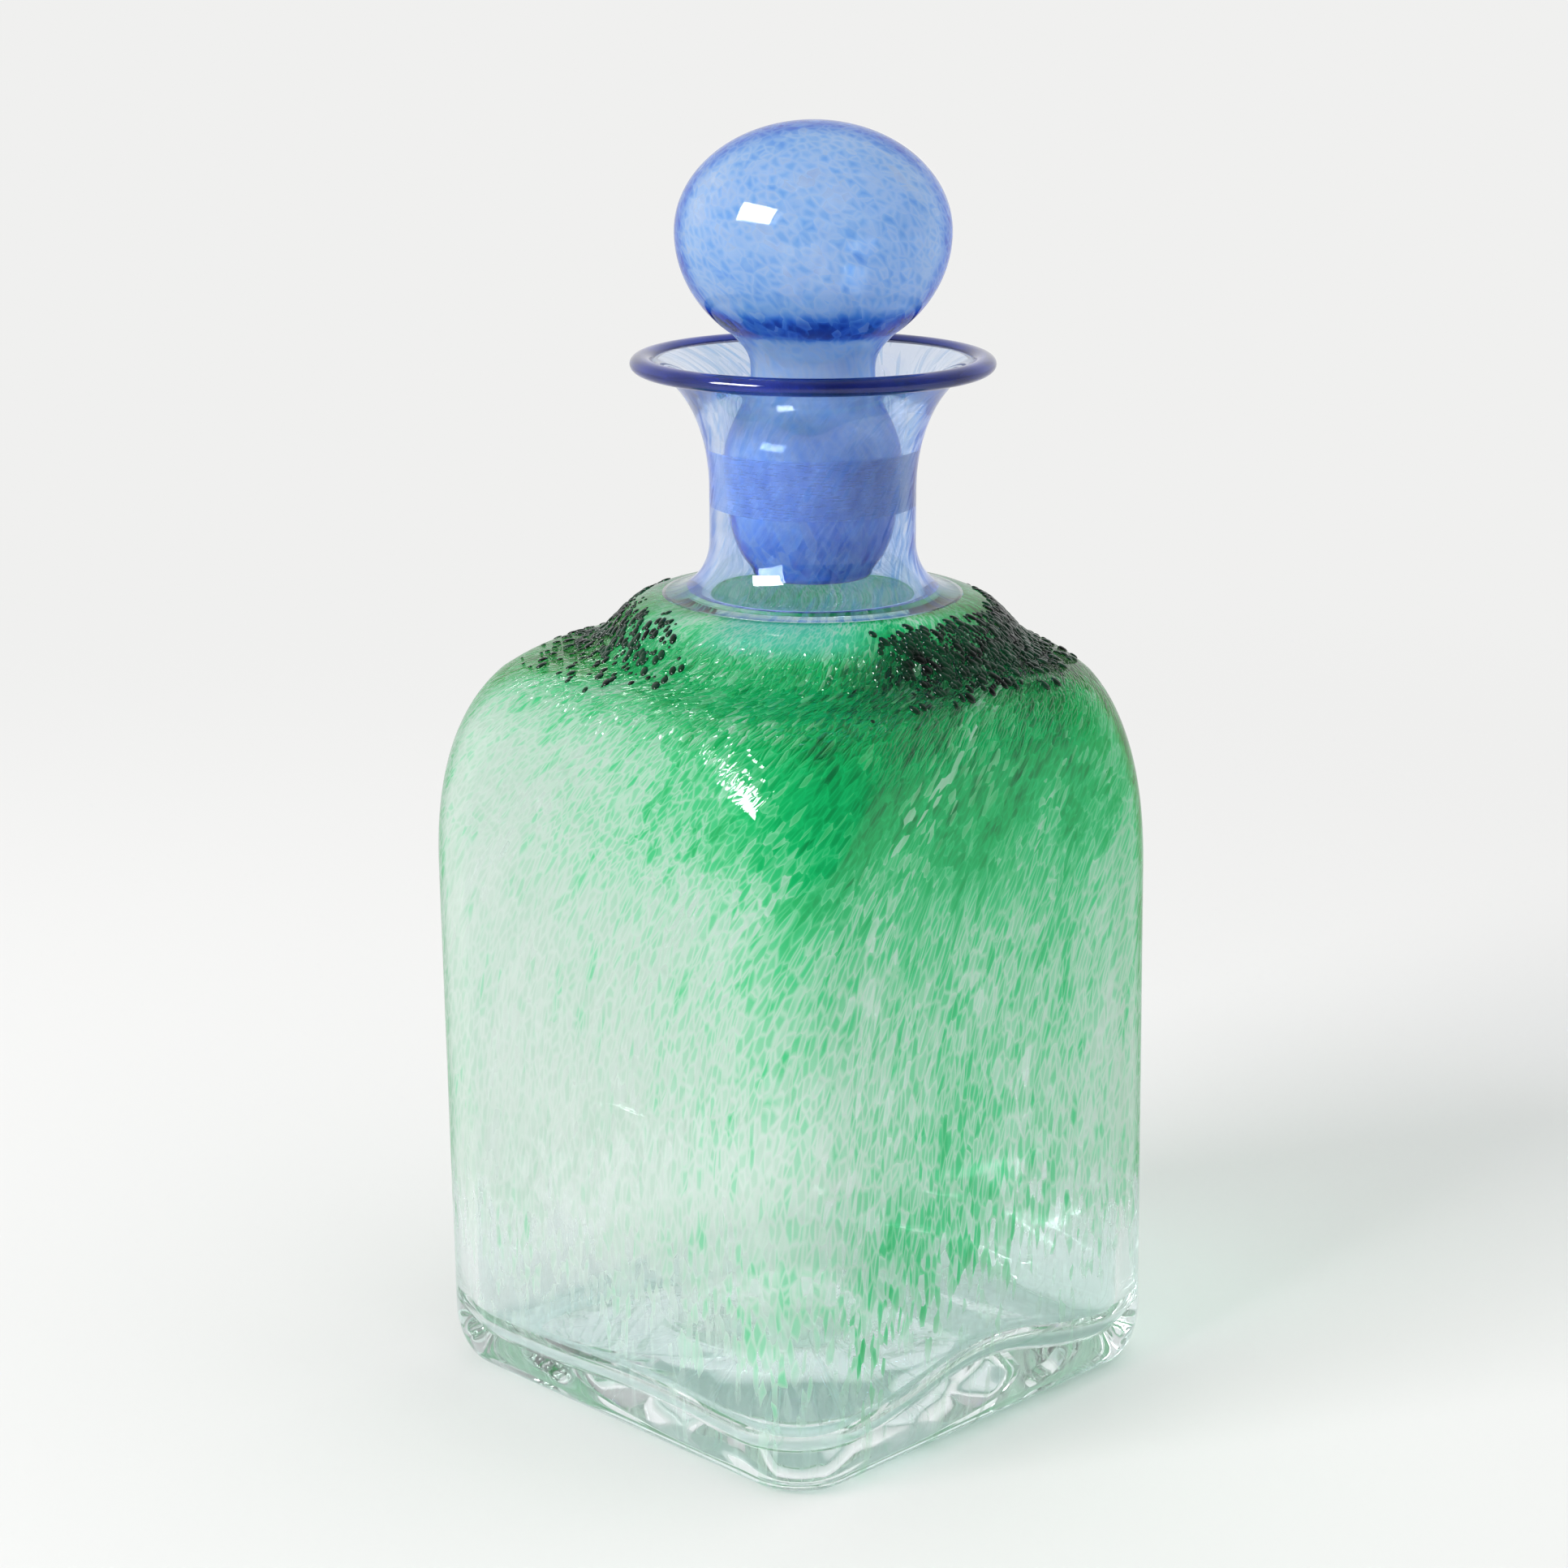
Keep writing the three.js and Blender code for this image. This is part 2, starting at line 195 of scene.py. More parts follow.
def line(start: Sequence[float], end: Sequence[float], steps: int) -> Profile:
    """Points on a straight stretch, its start left out."""
    t = np.linspace(0, 1, steps + 1)[1:]
    return [(start[0] + (end[0] - start[0]) * u, start[1] + (end[1] - start[1]) * u) for u in t]


def smooth_step(value: np.ndarray, low: float, high: float) -> np.ndarray:
    """Eases from 0 at low to 1 at high."""
    t = np.clip((value - low) / (high - low), 0, 1)
    return t * t * (3 - 2 * t)


@dataclass
class Skin:
    """Rings of points that become one closed mesh with a finish for each band of faces.

    Attributes:
        rings: Points of each ring, all of one count, in millimetres.
        bands: Finish number of the faces between a ring and the next.
        joined: Whether the last ring goes back to the first; otherwise both ends close to a point.
    """

    rings: list[np.ndarray] = field(default_factory=list)
    bands: list[int] = field(default_factory=list)
    joined: bool = False

    def add(self, rings: Sequence[np.ndarray], finish: int) -> None:
        """Adds rings whose bands, up to the next ring added, have one finish."""
        self.rings.extend(rings)
        self.bands.extend([finish] * len(rings))

    def stack(self) -> np.ndarray:
        """All points as an array of ring, place in the ring, axis."""
        return np.array(self.rings)

    def build(self, name: str, finishes: Sequence[bpy.types.Material],
              attributes: dict[str, np.ndarray] | None = None) -> bpy.types.Object:
        """Makes the mesh object.

        Args:
            name: Name of the piece.
            finishes: Materials in the order of the finish numbers.
            attributes: Values for each ring point: one number or a vector of three.

        Returns:
            The object, linked to the scene.
        """
        points = self.stack()
        count, around, _ = points.shape
        flat = points.reshape(-1, 3)
        index = np.arange(count * around).reshape(count, around)
        bands = count if self.joined else count - 1
        lower = index[:bands]
        upper = np.roll(index, -1, axis=0)[:bands]
        quads = np.stack([lower, np.roll(lower, -1, axis=1), np.roll(upper, -1, axis=1), upper], axis=-1)
        faces: list[Sequence[int]] = quads.reshape(-1, 4).tolist()
        kinds = np.repeat(self.bands[:bands], around).tolist()
        ends = np.empty((0, 3))
        if not self.joined:
            ends = np.array([points[0].mean(axis=0), points[-1].mean(axis=0)])
            first, last = len(flat), len(flat) + 1
            faces += [(first, int(b), int(a)) for a, b in zip(index[0], np.roll(index[0], -1))]
            faces += [(last, int(a), int(b)) for a, b in zip(index[-1], np.roll(index[-1], -1))]
            kinds += [self.bands[0]] * around + [self.bands[-1]] * around
        mesh = bpy.data.meshes.new(name)
        mesh.from_pydata((np.concatenate([flat, ends]) * MM).tolist(), [], faces)
        for material in finishes:
            mesh.materials.append(material)
        mesh.polygons.foreach_set("material_index", kinds)
        mesh.polygons.foreach_set("use_smooth", [True] * len(faces))
        for label, values in (attributes or {}).items():
            wide = values.ndim == 3
            rows = values.reshape(-1, 3) if wide else values.reshape(-1, 1)
            if len(ends):
                tips = [values[0].mean(axis=0), values[-1].mean(axis=0)]
                rows = np.concatenate([rows, np.array(tips).reshape(2, -1)])
            kind = "FLOAT_VECTOR" if wide else "FLOAT"
            layer = mesh.attributes.new(label, kind, "POINT")
            layer.data.foreach_set("vector" if wide else "value", rows.astype(np.float32).ravel())
        mesh.update()
        piece = bpy.data.objects.new(name, mesh)
        bpy.context.scene.collection.objects.link(piece)
        return piece


def hand_in(piece: bpy.types.Object, body: Body, slot: Slot, *nodes: str) -> None:
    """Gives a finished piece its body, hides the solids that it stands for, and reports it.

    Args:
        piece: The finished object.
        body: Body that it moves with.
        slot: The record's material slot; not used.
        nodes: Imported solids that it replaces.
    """
    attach(piece, body.value)
    if nodes:
        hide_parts(*nodes)
    log.info("%s: %d faces on %s", piece.name, len(piece.data.polygons), body.value)


@dataclass(frozen=True)
class ClearGlass:
    """Colourless blown soda glass: fire-polished, with a faint cool tint in the thick."""

    name: str
    tint: str = "#f5fbfb"
    shade: str = "#e0ecec"
    ior: float = 1.5
    roughness: float = 0.0
    cord_size: float = 14.0
    cord_height: float = 0.3

    def material(self) -> bpy.types.Material:
        """Builds the material."""
        material, tree = new_material(self.name)
        place = add(tree, "ShaderNodeTexCoord").outputs["Object"]
        cords = add(tree, "ShaderNodeTexNoise", {"Vector": place, "Scale": 1 / (self.cord_size * MM), "Detail": 1.0})
        ripple = add(tree, "ShaderNodeBump", {"Strength": 0.12, "Distance": self.cord_height * MM,
                                              "Height": cords})
        glass = add(tree, "ShaderNodeBsdfPrincipled", {
            "Base Color": linear(self.tint), "Roughness": self.roughness, "IOR": self.ior,
            "Transmission Weight": 1.0, "Normal": ripple,
        })
        add(tree, "ShaderNodeOutputMaterial", {"Surface": let_light_in(tree, glass, linear(self.shade))})
        return material


@dataclass(frozen=True)
class FusedSeam:
    """Glass melted into glass: no surface is left there, so light runs straight on."""

    name: str = "fused_seam"

    def material(self) -> bpy.types.Material:
        """Builds the material."""
        material, tree = new_material(self.name)
        add(tree, "ShaderNodeOutputMaterial", {"Surface": add(tree, "ShaderNodeBsdfTransparent")})
        return material


@dataclass(frozen=True)
class MottledGlass:
    """Crushed coloured glass melted on to clear glass: soft stretched cells of colour in a thin milky net.

    The piece gives it flow (where the glass ran, in metres), cover (where grains fell, 0 is bare clear
    glass), coat (how deep their colour is), a painted reflection (how far that turns to a teal that stands
    in for the blue neck mirrored in the collar) and relief (how far they still stand up).
    """

    name: str
    stops: tuple[tuple[float, str], ...]
    net: str
    # Teal of the painted reflection of the blue neck on the collar.
    cast: str = "#56c3b0"
    clear: str = "#f3fafa"
    cell: float = 1.15
    spot: float = 2.6
    net_width: float = 0.26
    net_strength: float = 0.42
    cell_spread: float = 0.18
    core_spread: float = 0.08
    spot_spread: float = 0.16
    cloud_spread: float = 0.42
    clearness: float = 0.3
    thin_clearness: float = 0.5
    glow: float = 0.25
    passing: float = 0.45
    rim: float = 3.0
    relief: float = 0.7
    swell: float = 0.2
    bend_size: float = 6.0
    bend_reach: float = 2.4
    cloud_size: float = 13.0
    grain_hem: float = 0.6
    cloud_hem: float = 0.9
    lump_height: float = 0.5
    swell_height: float = 0.6

    def material(self) -> bpy.types.Material:
        """Builds the material."""
        material, tree = new_material(self.name)
        flow = add(tree, "ShaderNodeAttribute", attribute_name="flow").outputs["Vector"]
        coat = add(tree, "ShaderNodeAttribute", attribute_name="coat").outputs["Fac"]
        cover = add(tree, "ShaderNodeAttribute", attribute_name="cover").outputs["Fac"]
        stand = add(tree, "ShaderNodeAttribute", attribute_name="relief").outputs["Fac"]
        # How far the colour turns to teal: a painted reflection of the blue neck in the collar.
        turned = add(tree, "ShaderNodeAttribute", attribute_name="cast").outputs["Fac"]

        # Cells wander a little off the straight flow of the glass.
        wander = add(tree, "ShaderNodeTexNoise", {"Vector": flow, "Scale": 1 / (self.bend_size * MM),
                                                  "Detail": 3.0})
        shift = add(tree, "ShaderNodeVectorMath", {0: wander.outputs["Color"], 1: (0.5, 0.5, 0.5)},
                    operation="SUBTRACT")
        bent = add(tree, "ShaderNodeVectorMath", {0: shift, 1: (self.bend_reach * MM,) * 3, 2: flow},
                   operation="MULTIPLY_ADD")

        # Small cells with a net between them, and larger soft spots where a coarse grain melted.
        fine = {"Vector": bent, "Scale": 1 / (self.cell * MM)}
        rim = add(tree, "ShaderNodeTexVoronoi", fine, feature="DISTANCE_TO_EDGE").outputs["Distance"]
        cell = add(tree, "ShaderNodeTexVoronoi", fine, feature="F1")
        cell_chance = add(tree, "ShaderNodeSeparateColor", {0: cell.outputs["Color"]}).outputs["Red"]
        inside = add(tree, "ShaderNodeMapRange", {"Value": rim, "From Min": 0.0, "From Max": self.net_width},
                     interpolation_type="SMOOTHSTEP")
        coarse = add(tree, "ShaderNodeTexVoronoi", {"Vector": bent, "Scale": 1 / (self.spot * MM)},
                     feature="F1")
        spot_chance = add(tree, "ShaderNodeSeparateColor", {0: coarse.outputs["Color"]}).outputs["Green"]
        spot_core = add(tree, "ShaderNodeMapRange", {"Value": coarse.outputs["Distance"], "From Min": 0.62,
                                                     "From Max": 0.25}, interpolation_type="SMOOTHSTEP")
        spot_kept = add(tree, "ShaderNodeMapRange", {"Value": spot_chance, "From Min": 0.45, "From Max": 1.0})
        spot = add(tree, "ShaderNodeMath", {0: spot_core, 1: spot_kept}, operation="MULTIPLY")

        # Cloudy drifts make whole patches thicker or thinner.
        drift = add(tree, "ShaderNodeTexNoise", {"Vector": flow, "Scale": 1 / (self.cloud_size * MM),
                                                 "Detail": 4.0})
        cloud = add(tree, "ShaderNodeMath", {0: drift.outputs["Fac"], 1: -0.5}, operation="ADD")
        grain = add(tree, "ShaderNodeMath", {0: cell_chance, 1: -0.5}, operation="ADD")
        amount: Any = coat
        core = add(tree, "ShaderNodeMath", {0: inside, 1: -0.6}, operation="ADD")
        for part, share in ((grain, self.cell_spread), (core, self.core_spread), (spot, self.spot_spread),
                            (cloud, self.cloud_spread)):
            amount = add(tree, "ShaderNodeMath", {0: part, 1: share, 2: amount}, operation="MULTIPLY_ADD")
        depth = add(tree, "ShaderNodeMath", {0: amount, 1: DEEPEST}, operation="DIVIDE")
        ramp = add(tree, "ShaderNodeValToRGB", {0: depth})
        while len(ramp.color_ramp.elements) < len(self.stops):
            ramp.color_ramp.elements.new(0.5)
        for element, (place, code) in zip(ramp.color_ramp.elements, self.stops):
            element.position = place
            element.color = linear(code)

        # The net is milky, and sinks under the colour where that lies thick.
        gap = add(tree, "ShaderNodeMath", {0: 1.0, 1: inside}, operation="SUBTRACT")
        shown = add(tree, "ShaderNodeMapRange", {"Value": amount, "From Min": 0.25, "From Max": 0.7,
                                                 "To Min": self.net_strength, "To Max": 0.0})
        milk = add(tree, "ShaderNodeMath", {0: gap, 1: shown}, operation="MULTIPLY")
        # The teal that the colour turns to here is a painted reflection of the blue neck.
        toned = add(tree, "ShaderNodeMix", {0: turned, 6: ramp, 7: linear(self.cast)}, data_type="RGBA")
        colour = add(tree, "ShaderNodeMix", {0: milk, 6: toned, 7: linear(self.net)}, data_type="RGBA")

        # Bare clear glass shows where no grain fell, between grains that thin out one by one.
        fallen: Any = cover
        for part, share in ((grain, self.grain_hem), (cloud, self.cloud_hem)):
            fallen = add(tree, "ShaderNodeMath", {0: part, 1: share, 2: fallen}, operation="MULTIPLY_ADD")
        covered = add(tree, "ShaderNodeMapRange", {"Value": fallen, "From Min": 0.15, "From Max": 0.85},
                      interpolation_type="SMOOTHSTEP")
        tint = add(tree, "ShaderNodeMix", {0: covered, 6: linear(self.clear), 7: colour}, data_type="RGBA")

        # Seen edge on, light comes a long way through the glass and is deeper in colour.
        edge_on = add(tree, "ShaderNodeLayerWeight", {"Blend": 0.5}).outputs["Facing"]
        deep = add(tree, "ShaderNodeMapRange", {"Value": edge_on, "From Min": 0.55, "From Max": 0.8, "To Min": 1.0,
                                                "To Max": self.rim}, interpolation_type="SMOOTHSTEP")
        tint = add(tree, "ShaderNodeGamma", {"Color": tint, "Gamma": deep})
        thin = add(tree, "ShaderNodeMapRange", {"Value": amount, "From Min": 0.15, "From Max": 0.6,
                                                "To Min": self.thin_clearness, "To Max": self.clearness})
        clearness = add(tree, "ShaderNodeMix", {0: covered, 2: 1.0, 3: thin}, data_type="FLOAT")
        polish = add(tree, "ShaderNodeMapRange", {"Value": covered, "To Min": 0.0, "To Max": 0.01})

        grains = add(tree, "ShaderNodeMath", {0: stand, 1: self.relief}, operation="MULTIPLY")
        lumps = add(tree, "ShaderNodeBump", {"Strength": grains, "Distance": self.lump_height * MM,
                                              "Height": inside})
        heave = add(tree, "ShaderNodeMath", {0: cover, 1: self.swell}, operation="MULTIPLY")
        swell = add(tree, "ShaderNodeBump", {"Strength": heave, "Distance": self.swell_height * MM,
                                             "Height": drift.outputs["Fac"], "Normal": lumps})
        glass = add(tree, "ShaderNodeBsdfPrincipled", {
            "Base Color": tint, "Roughness": polish, "IOR": 1.5, "Transmission Weight": clearness,
            "Normal": swell,
        })

        # The grains are milky enough to light up from behind.
        share = add(tree, "ShaderNodeMath", {0: covered, 1: self.glow}, operation="MULTIPLY")
        lit = add(tree, "ShaderNodeBsdfTranslucent", {"Color": tint})
        mixed = add(tree, "ShaderNodeMixShader", {0: share, 1: glass, 2: lit})
        veil = add(tree, "ShaderNodeMapRange", {"Value": covered, "To Min": 0.8, "To Max": self.passing})
        left = add(tree, "ShaderNodeVectorMath", {0: tint, "Scale": veil}, operation="SCALE")
        add(tree, "ShaderNodeOutputMaterial", {"Surface": let_light_in(tree, mixed, left)})
        return material


@dataclass(frozen=True)
class GroundGlass:
    """Blue glass ground with fine grit where stopper and neck meet: dull, hazy and fine-scratched round."""

    name: str
    tint: str
    streak: str
    clearness: float
    roughness: float = 0.3
    scratch: float = 0.25
    streak_size: float = 2.2

    def material(self) -> bpy.types.Material:
        """Builds the material."""
        material, tree = new_material(self.name)
        place = add(tree, "ShaderNodeTexCoord").outputs["Object"]
        squeeze = add(tree, "ShaderNodeMapping", {"Vector": place, "Scale": (0.1, 0.1, 1.0)})
        lines = add(tree, "ShaderNodeTexNoise", {"Vector": squeeze, "Scale": 1 / (self.scratch * MM)})
        haze = add(tree, "ShaderNodeMapRange", {"Value": lines.outputs["Fac"], "From Min": 0.3, "From Max": 0.7,
                                                "To Min": self.roughness - 0.08, "To Max": self.roughness + 0.1})
        pull = add(tree, "ShaderNodeMapping", {"Vector": place, "Rotation": (0.3, 0.3, 0.0),
                                               "Scale": (1.0, 1.0, 0.3)})
        run = add(tree, "ShaderNodeTexNoise", {"Vector": pull, "Scale": 1 / (self.streak_size * MM),
                                               "Detail": 3.0})
        seen = add(tree, "ShaderNodeMapRange", {"Value": run.outputs["Fac"], "From Min": 0.38, "From Max": 0.64})
        colour = add(tree, "ShaderNodeMix", {0: seen, 6: linear(self.tint), 7: linear(self.streak)},
                     data_type="RGBA")
        glass = add(tree, "ShaderNodeBsdfPrincipled", {
            "Base Color": colour, "Roughness": haze, "IOR": 1.5, "Transmission Weight": self.clearness,
        })
        add(tree, "ShaderNodeOutputMaterial", {"Surface": let_light_in(tree, glass, linear(self.tint))})
        return material


@dataclass(frozen=True)
class DarkGlass:
    """Strongly coloured glass, nearly black where it is thick, with a fire-polished gloss."""

    name: str
    thin: str
    thick: str
    patch: float
    clearness: float
    ior: float = 1.5

    def material(self) -> bpy.types.Material:
        """Builds the material."""
        material, tree = new_material(self.name)
        place = add(tree, "ShaderNodeTexCoord").outputs["Object"]
        drift = add(tree, "ShaderNodeTexNoise", {"Vector": place, "Scale": 1 / (self.patch * MM), "Detail": 2.0})
        depth = add(tree, "ShaderNodeMapRange", {"Value": drift.outputs["Fac"], "From Min": 0.35,
                                                 "From Max": 0.65})
        colour = add(tree, "ShaderNodeMix", {0: depth, 6: linear(self.thin), 7: linear(self.thick)},
                     data_type="RGBA")
        glass = add(tree, "ShaderNodeBsdfPrincipled", {
            "Base Color": colour, "Roughness": 0.03, "IOR": self.ior, "Transmission Weight": self.clearness,
        })
        add(tree, "ShaderNodeOutputMaterial", {"Surface": let_light_in(tree, glass, colour)})
        return material


@dataclass(frozen=True)
class CoatLay:
    """Where crushed glass lies on the vessel and how deep, by height in millimetres and by angle from +X.

    Attributes:
        hem: Heights from bare to covered glass.
        hem_lift: How much higher that is on the right side.
        hem_turn: Angles from the front corner over which it rises.
        hem_fade: Heights over which the lift dies out.
        depths: Depth of the coat against height.
        deepest_angle: Where the coat is deepest.
        shares: Share of that depth against degrees from there.
        evened: How far the sides grow alike near the top.
        evened_heights: Heights over which they do.
        extra: More depth low on the deepest side.
        extra_turn: Degrees over which it comes in.
        extra_heights: Heights over which it goes.
        right_patch: Middle, outer and inner angle of the burnt patch on the right.
        left_patch: The same on the left.
        burnt: Depth that a patch adds.
        left_share: Share of it on the left.
        burnt_rise: Heights over which the patches begin.
        burnt_fall: Heights over which they end.
        cast: How far the collar turns to teal, a painted reflection of the blue neck.
        painted_neck_reflection_heights: Heights over which it does.
        relief_rise: Heights over which the grains begin to stand up.
        relief_fall: Heights over which they lie flat again.
        twist: Turn of the flow per millimetre against the way below the seam.
        stretch: Length of the pattern against the way below the seam.
    """

    hem: tuple[float, float] = (6, 56)
    hem_lift: float = 6
    hem_turn: tuple[float, float] = (math.radians(14), math.radians(42))
    hem_fade: tuple[float, float] = (30, 75)
    depths: tuple[Sequence[float], Sequence[float]] = (
        (10, 30, 60, 80, 95, 108, 120, 130, 140, 149, 153, 156),
        (0.5, 0.34, 0.29, 0.38, 0.48, 0.61, 0.79, 0.88, 0.92, 0.86, 0.62, 0.56))
    deepest_angle: float = math.radians(-8)
    shares: tuple[Sequence[float], Sequence[float]] = (
        (0, 32, 44, 75, 110, 145, 180), (1, 0.94, 0.76, 0.42, 0.2, 0.32, 0.48))
    evened: float = 0.56
    evened_heights: tuple[float, float] = (131, 147)
    extra: float = 0.18
    extra_turn: tuple[float, float] = (38, 20)
    extra_heights: tuple[float, float] = (55, 105)
    right_patch: tuple[float, float, float] = (math.radians(14), math.radians(60), math.radians(34))
    left_patch: tuple[float, float, float] = (math.radians(-112), math.radians(44), math.radians(24))
    burnt: float = 0.3
    left_share: float = 0.4
    burnt_rise: tuple[float, float] = (140, 147)
    burnt_fall: tuple[float, float] = (153.5, 155.2)
    cast: float = 0.75
    painted_neck_reflection_heights: tuple[float, float] = (149.5, 153)
    relief_rise: tuple[float, float] = (127, 146)
    relief_fall: tuple[float, float] = (150.5, 153.5)
    twist: tuple[Sequence[float], Sequence[float]] = (
        (0, 25, 50, 70, 90, 125), (0.012, 0.015, 0.012, 0.008, 0.004, 0.001))
    stretch: tuple[Sequence[float], Sequence[float]] = ((0, 30, 60, 100, 160), (0, 21, 36, 48, 65))


@dataclass
class Vessel:
    """The four-sided bottle: thick clear base, mottled sides and shoulder, smooth collar, domed floor."""

    seam_height: float
    neck_centre: np.ndarray
    side: float = 105.0
    corner: float = 15.0
    base_edge_inset: float = 6.0
    base_edge_rise: float = 11.0
    side_height: float = 101.4
    shoulder_rise: float = 43.0
    fullness: float = 2.25
    seam_radius: float = 28.5
    throat_radius: float = 23.0
    collar_width: float = 15.5
    lean: float = 0.0143
    wall: float = 4.0
    shoulder_wall: float = 4.6
    inner_corner: float = 12.5
    floor_centre: float = 18.0
    floor_mid_side: float = 10.0
    floor_uneven: float = 3.2
    floor_corner: float = 6.5
    floor_fillet: float = 8.0
    pontil_radius: float = 14.0
    pontil_depth: float = 1.2
    reach: float = 62.0
    around: int = 256
    crowding: float = 0.5
    lay: CoatLay = CoatLay()

    def __post_init__(self) -> None:
        """Works out the sizes that follow from the fields."""
        turn = np.linspace(0, 2 * math.pi, self.around, endpoint=False)
        self.angles = turn + self.crowding / 4 * np.sin(4 * turn)
        self.half = self.side / 2
        self.collar_radius = self.seam_radius + self.collar_width
        self.shoulder_top = self.side_height + self.shoulder_rise
        self.collar_rise = self.seam_height - self.shoulder_top

    def angles_from(self, middle: float) -> np.ndarray:
        """How far round each point of a ring is from an angle, either way."""
        return np.abs((self.angles - middle + HALF_TURN) % (2 * HALF_TURN) - HALF_TURN)

    def lean_centre(self, height: float) -> np.ndarray:
        """Centre of the section at a height, which drifts as freehand glass does."""
        return CORNERWARD * (-self.lean * (height - self.side_height / 2))

    def ring(self, side: float, corner: float, centre: np.ndarray, height: float | np.ndarray) -> np.ndarray:
        """One ring in the form of a rounded square.

        Args:
            side: Half width across the flats.
            corner: Radius of the corners; as large as side gives a circle.
            centre: Middle of the ring.
            height: Height, one for all points or one for each.

        Returns:
            Points of the ring.
        """
        c, s = np.abs(np.cos(self.angles)), np.abs(np.sin(self.angles))
        big, small = np.maximum(c, s), np.minimum(c, s)
        corner = min(corner, side)
        straight = side - corner
        along = straight * (c + s)
        rounded = along + np.sqrt(np.maximum(along ** 2 - 2 * straight ** 2 + corner ** 2, 0))
        radius = np.where(small * side <= straight * big, side / big, rounded)
        rise = np.broadcast_to(height, radius.shape)
        return np.stack([centre[0] + radius * np.cos(self.angles), centre[1] + radius * np.sin(self.angles), rise],
                        axis=-1)

    def circle(self, radius: float, height: float) -> np.ndarray:
        """One round ring about the neck's axis."""
        return self.ring(radius, radius, self.neck_centre, height)

    def shoulder_ring(self, turn: float, side: float, corner: float, radius: float, top: float) -> np.ndarray:
        """One ring of the shoulder, where the square closes to the collar's circle.

        Args:
            turn: 0 at the shoulder's foot, 1 at the collar.
            side: Half width of the sides below.
            corner: Corner radius of the sides below.
            radius: Radius at the collar.
            top: Height at the collar.

        Returns:
            Points of the ring.
        """
        shrink = max(math.cos(turn * RIGHT_ANGLE), 0) ** (2 / self.fullness)
        rise = math.sin(turn * RIGHT_ANGLE) ** (2 / self.fullness)
        height = self.side_height + (top - self.side_height) * rise
        share = math.sqrt(shrink)
        centre = self.neck_centre * (1 - share) + self.lean_centre(height) * share
        return self.ring(radius + (side - radius) * shrink, radius + (corner - radius) * shrink, centre, height)

    def outer_rings(self) -> list[np.ndarray]:
        """Rings of the outside, from the dish under the base to the seam."""
        rings = []
        for t in np.linspace(0.15, 1, 5):
            rise = self.pontil_depth * (1 - t * t)
            rings.append(self.ring(self.pontil_radius * t, self.pontil_radius * t, np.zeros(2), rise))
        edge_side = self.half - self.base_edge_inset
        for t in np.linspace(0, 1, 6)[1:-1]:
            side = self.pontil_radius + (edge_side - self.pontil_radius) * t
            corner = self.pontil_radius + (self.corner - self.base_edge_inset - self.pontil_radius) * t
            rings.append(self.ring(side, corner, self.lean_centre(0), 0.0))
        for turn in np.linspace(0, RIGHT_ANGLE, 14):
            inset = self.base_edge_inset * (1 - math.sin(turn))
            height = self.base_edge_rise * (1 - math.cos(turn))
            rings.append(self.ring(self.half - inset, self.corner - inset, self.lean_centre(height), height))
        for height in np.linspace(self.base_edge_rise, self.side_height, 22)[1:-1]:
            rings.append(self.ring(self.half, self.corner, self.lean_centre(height), height))
        for turn in np.linspace(0, 1, 36) ** 1.15:
            rings.append(self.shoulder_ring(turn, self.half, self.corner, self.collar_radius, self.shoulder_top))
        collar = bezier(
            (self.collar_radius, self.shoulder_top),
            (self.collar_radius - self.collar_width * 0.35, self.shoulder_top + self.collar_rise * 0.22),
            (self.seam_radius + self.collar_width * 0.55, self.seam_height - self.collar_rise * 0.1),
            (self.seam_radius, self.seam_height), 18)
        foot = len(rings)
        rings.extend(self.circle(r, z) for r, z in collar)
        return self.eased(rings, foot - 10, foot + 8, passes=12)

    @staticmethod
    def eased(rings: list[np.ndarray], first: int, last: int, passes: int) -> list[np.ndarray]:
        """Softens the crease between shoulder and collar along the profile.

        Args:
            rings: All rings.
            first: First ring that may move.
            last: Last ring that may move.
            passes: How often each ring goes to the middle of its neighbours.

        Returns:
            The rings, softened.
        """
        points = np.array(rings)
        for _ in range(passes):
            middle = (points[first - 1:last] + 2 * points[first:last + 1] + points[first + 1:last + 2]) / 4
            points[first:last + 1] = middle
        return list(points)

    def inner_rings(self) -> list[np.ndarray]:
        """Rings of the cavity, from the seam down the throat and walls and in over the domed floor."""
        top = self.shoulder_top - self.shoulder_wall
        side = self.half - self.wall
        radius = self.collar_radius - self.wall
        throat = bezier(
            (self.throat_radius, self.seam_height),
            (self.throat_radius + self.collar_width * 0.1, self.seam_height - self.collar_rise * 0.8),
            (radius - self.collar_width * 0.5, top + self.collar_rise * 0.1),
            (radius, top), 14)
        rings = [self.circle(self.throat_radius, self.seam_height)]
        rings.extend(self.circle(r, z) for r, z in throat)
        foot = len(rings)
        for turn in np.linspace(1, 0, 30)[1:]:
            rings.append(self.shoulder_ring(turn, side, self.inner_corner, radius, top))
        middle = self.lean_centre(self.floor_mid_side)
        mid_side = self.floor_mid_side + self.floor_uneven * np.cos(self.angles - CORNER_ANGLE)
        edge = mid_side + (self.floor_corner - mid_side) * np.sin(2 * self.angles) ** 2
        wall_top = rings[-1]
        wall_foot = self.ring(side, self.inner_corner, middle, edge + self.floor_fillet)
        rings.extend(wall_top + (wall_foot - wall_top) * t for t in np.linspace(0, 1, 14)[1:])
        for turn in np.linspace(0, RIGHT_ANGLE, 12)[1:]:
            inset = self.floor_fillet * (1 - math.cos(turn))
            height = edge + self.floor_fillet * (1 - math.sin(turn))
            rings.append(self.ring(side - inset, self.inner_corner - inset / 2, middle, height))
        for t in np.linspace(1, 0.06, 14)[1:]:
            height = self.floor_centre + (edge - self.floor_centre) * t * t
            rings.append(self.ring((side - self.floor_fillet) * t, self.inner_corner * t, middle, height))
        return self.eased(rings, foot - 6, foot + 6, passes=8)

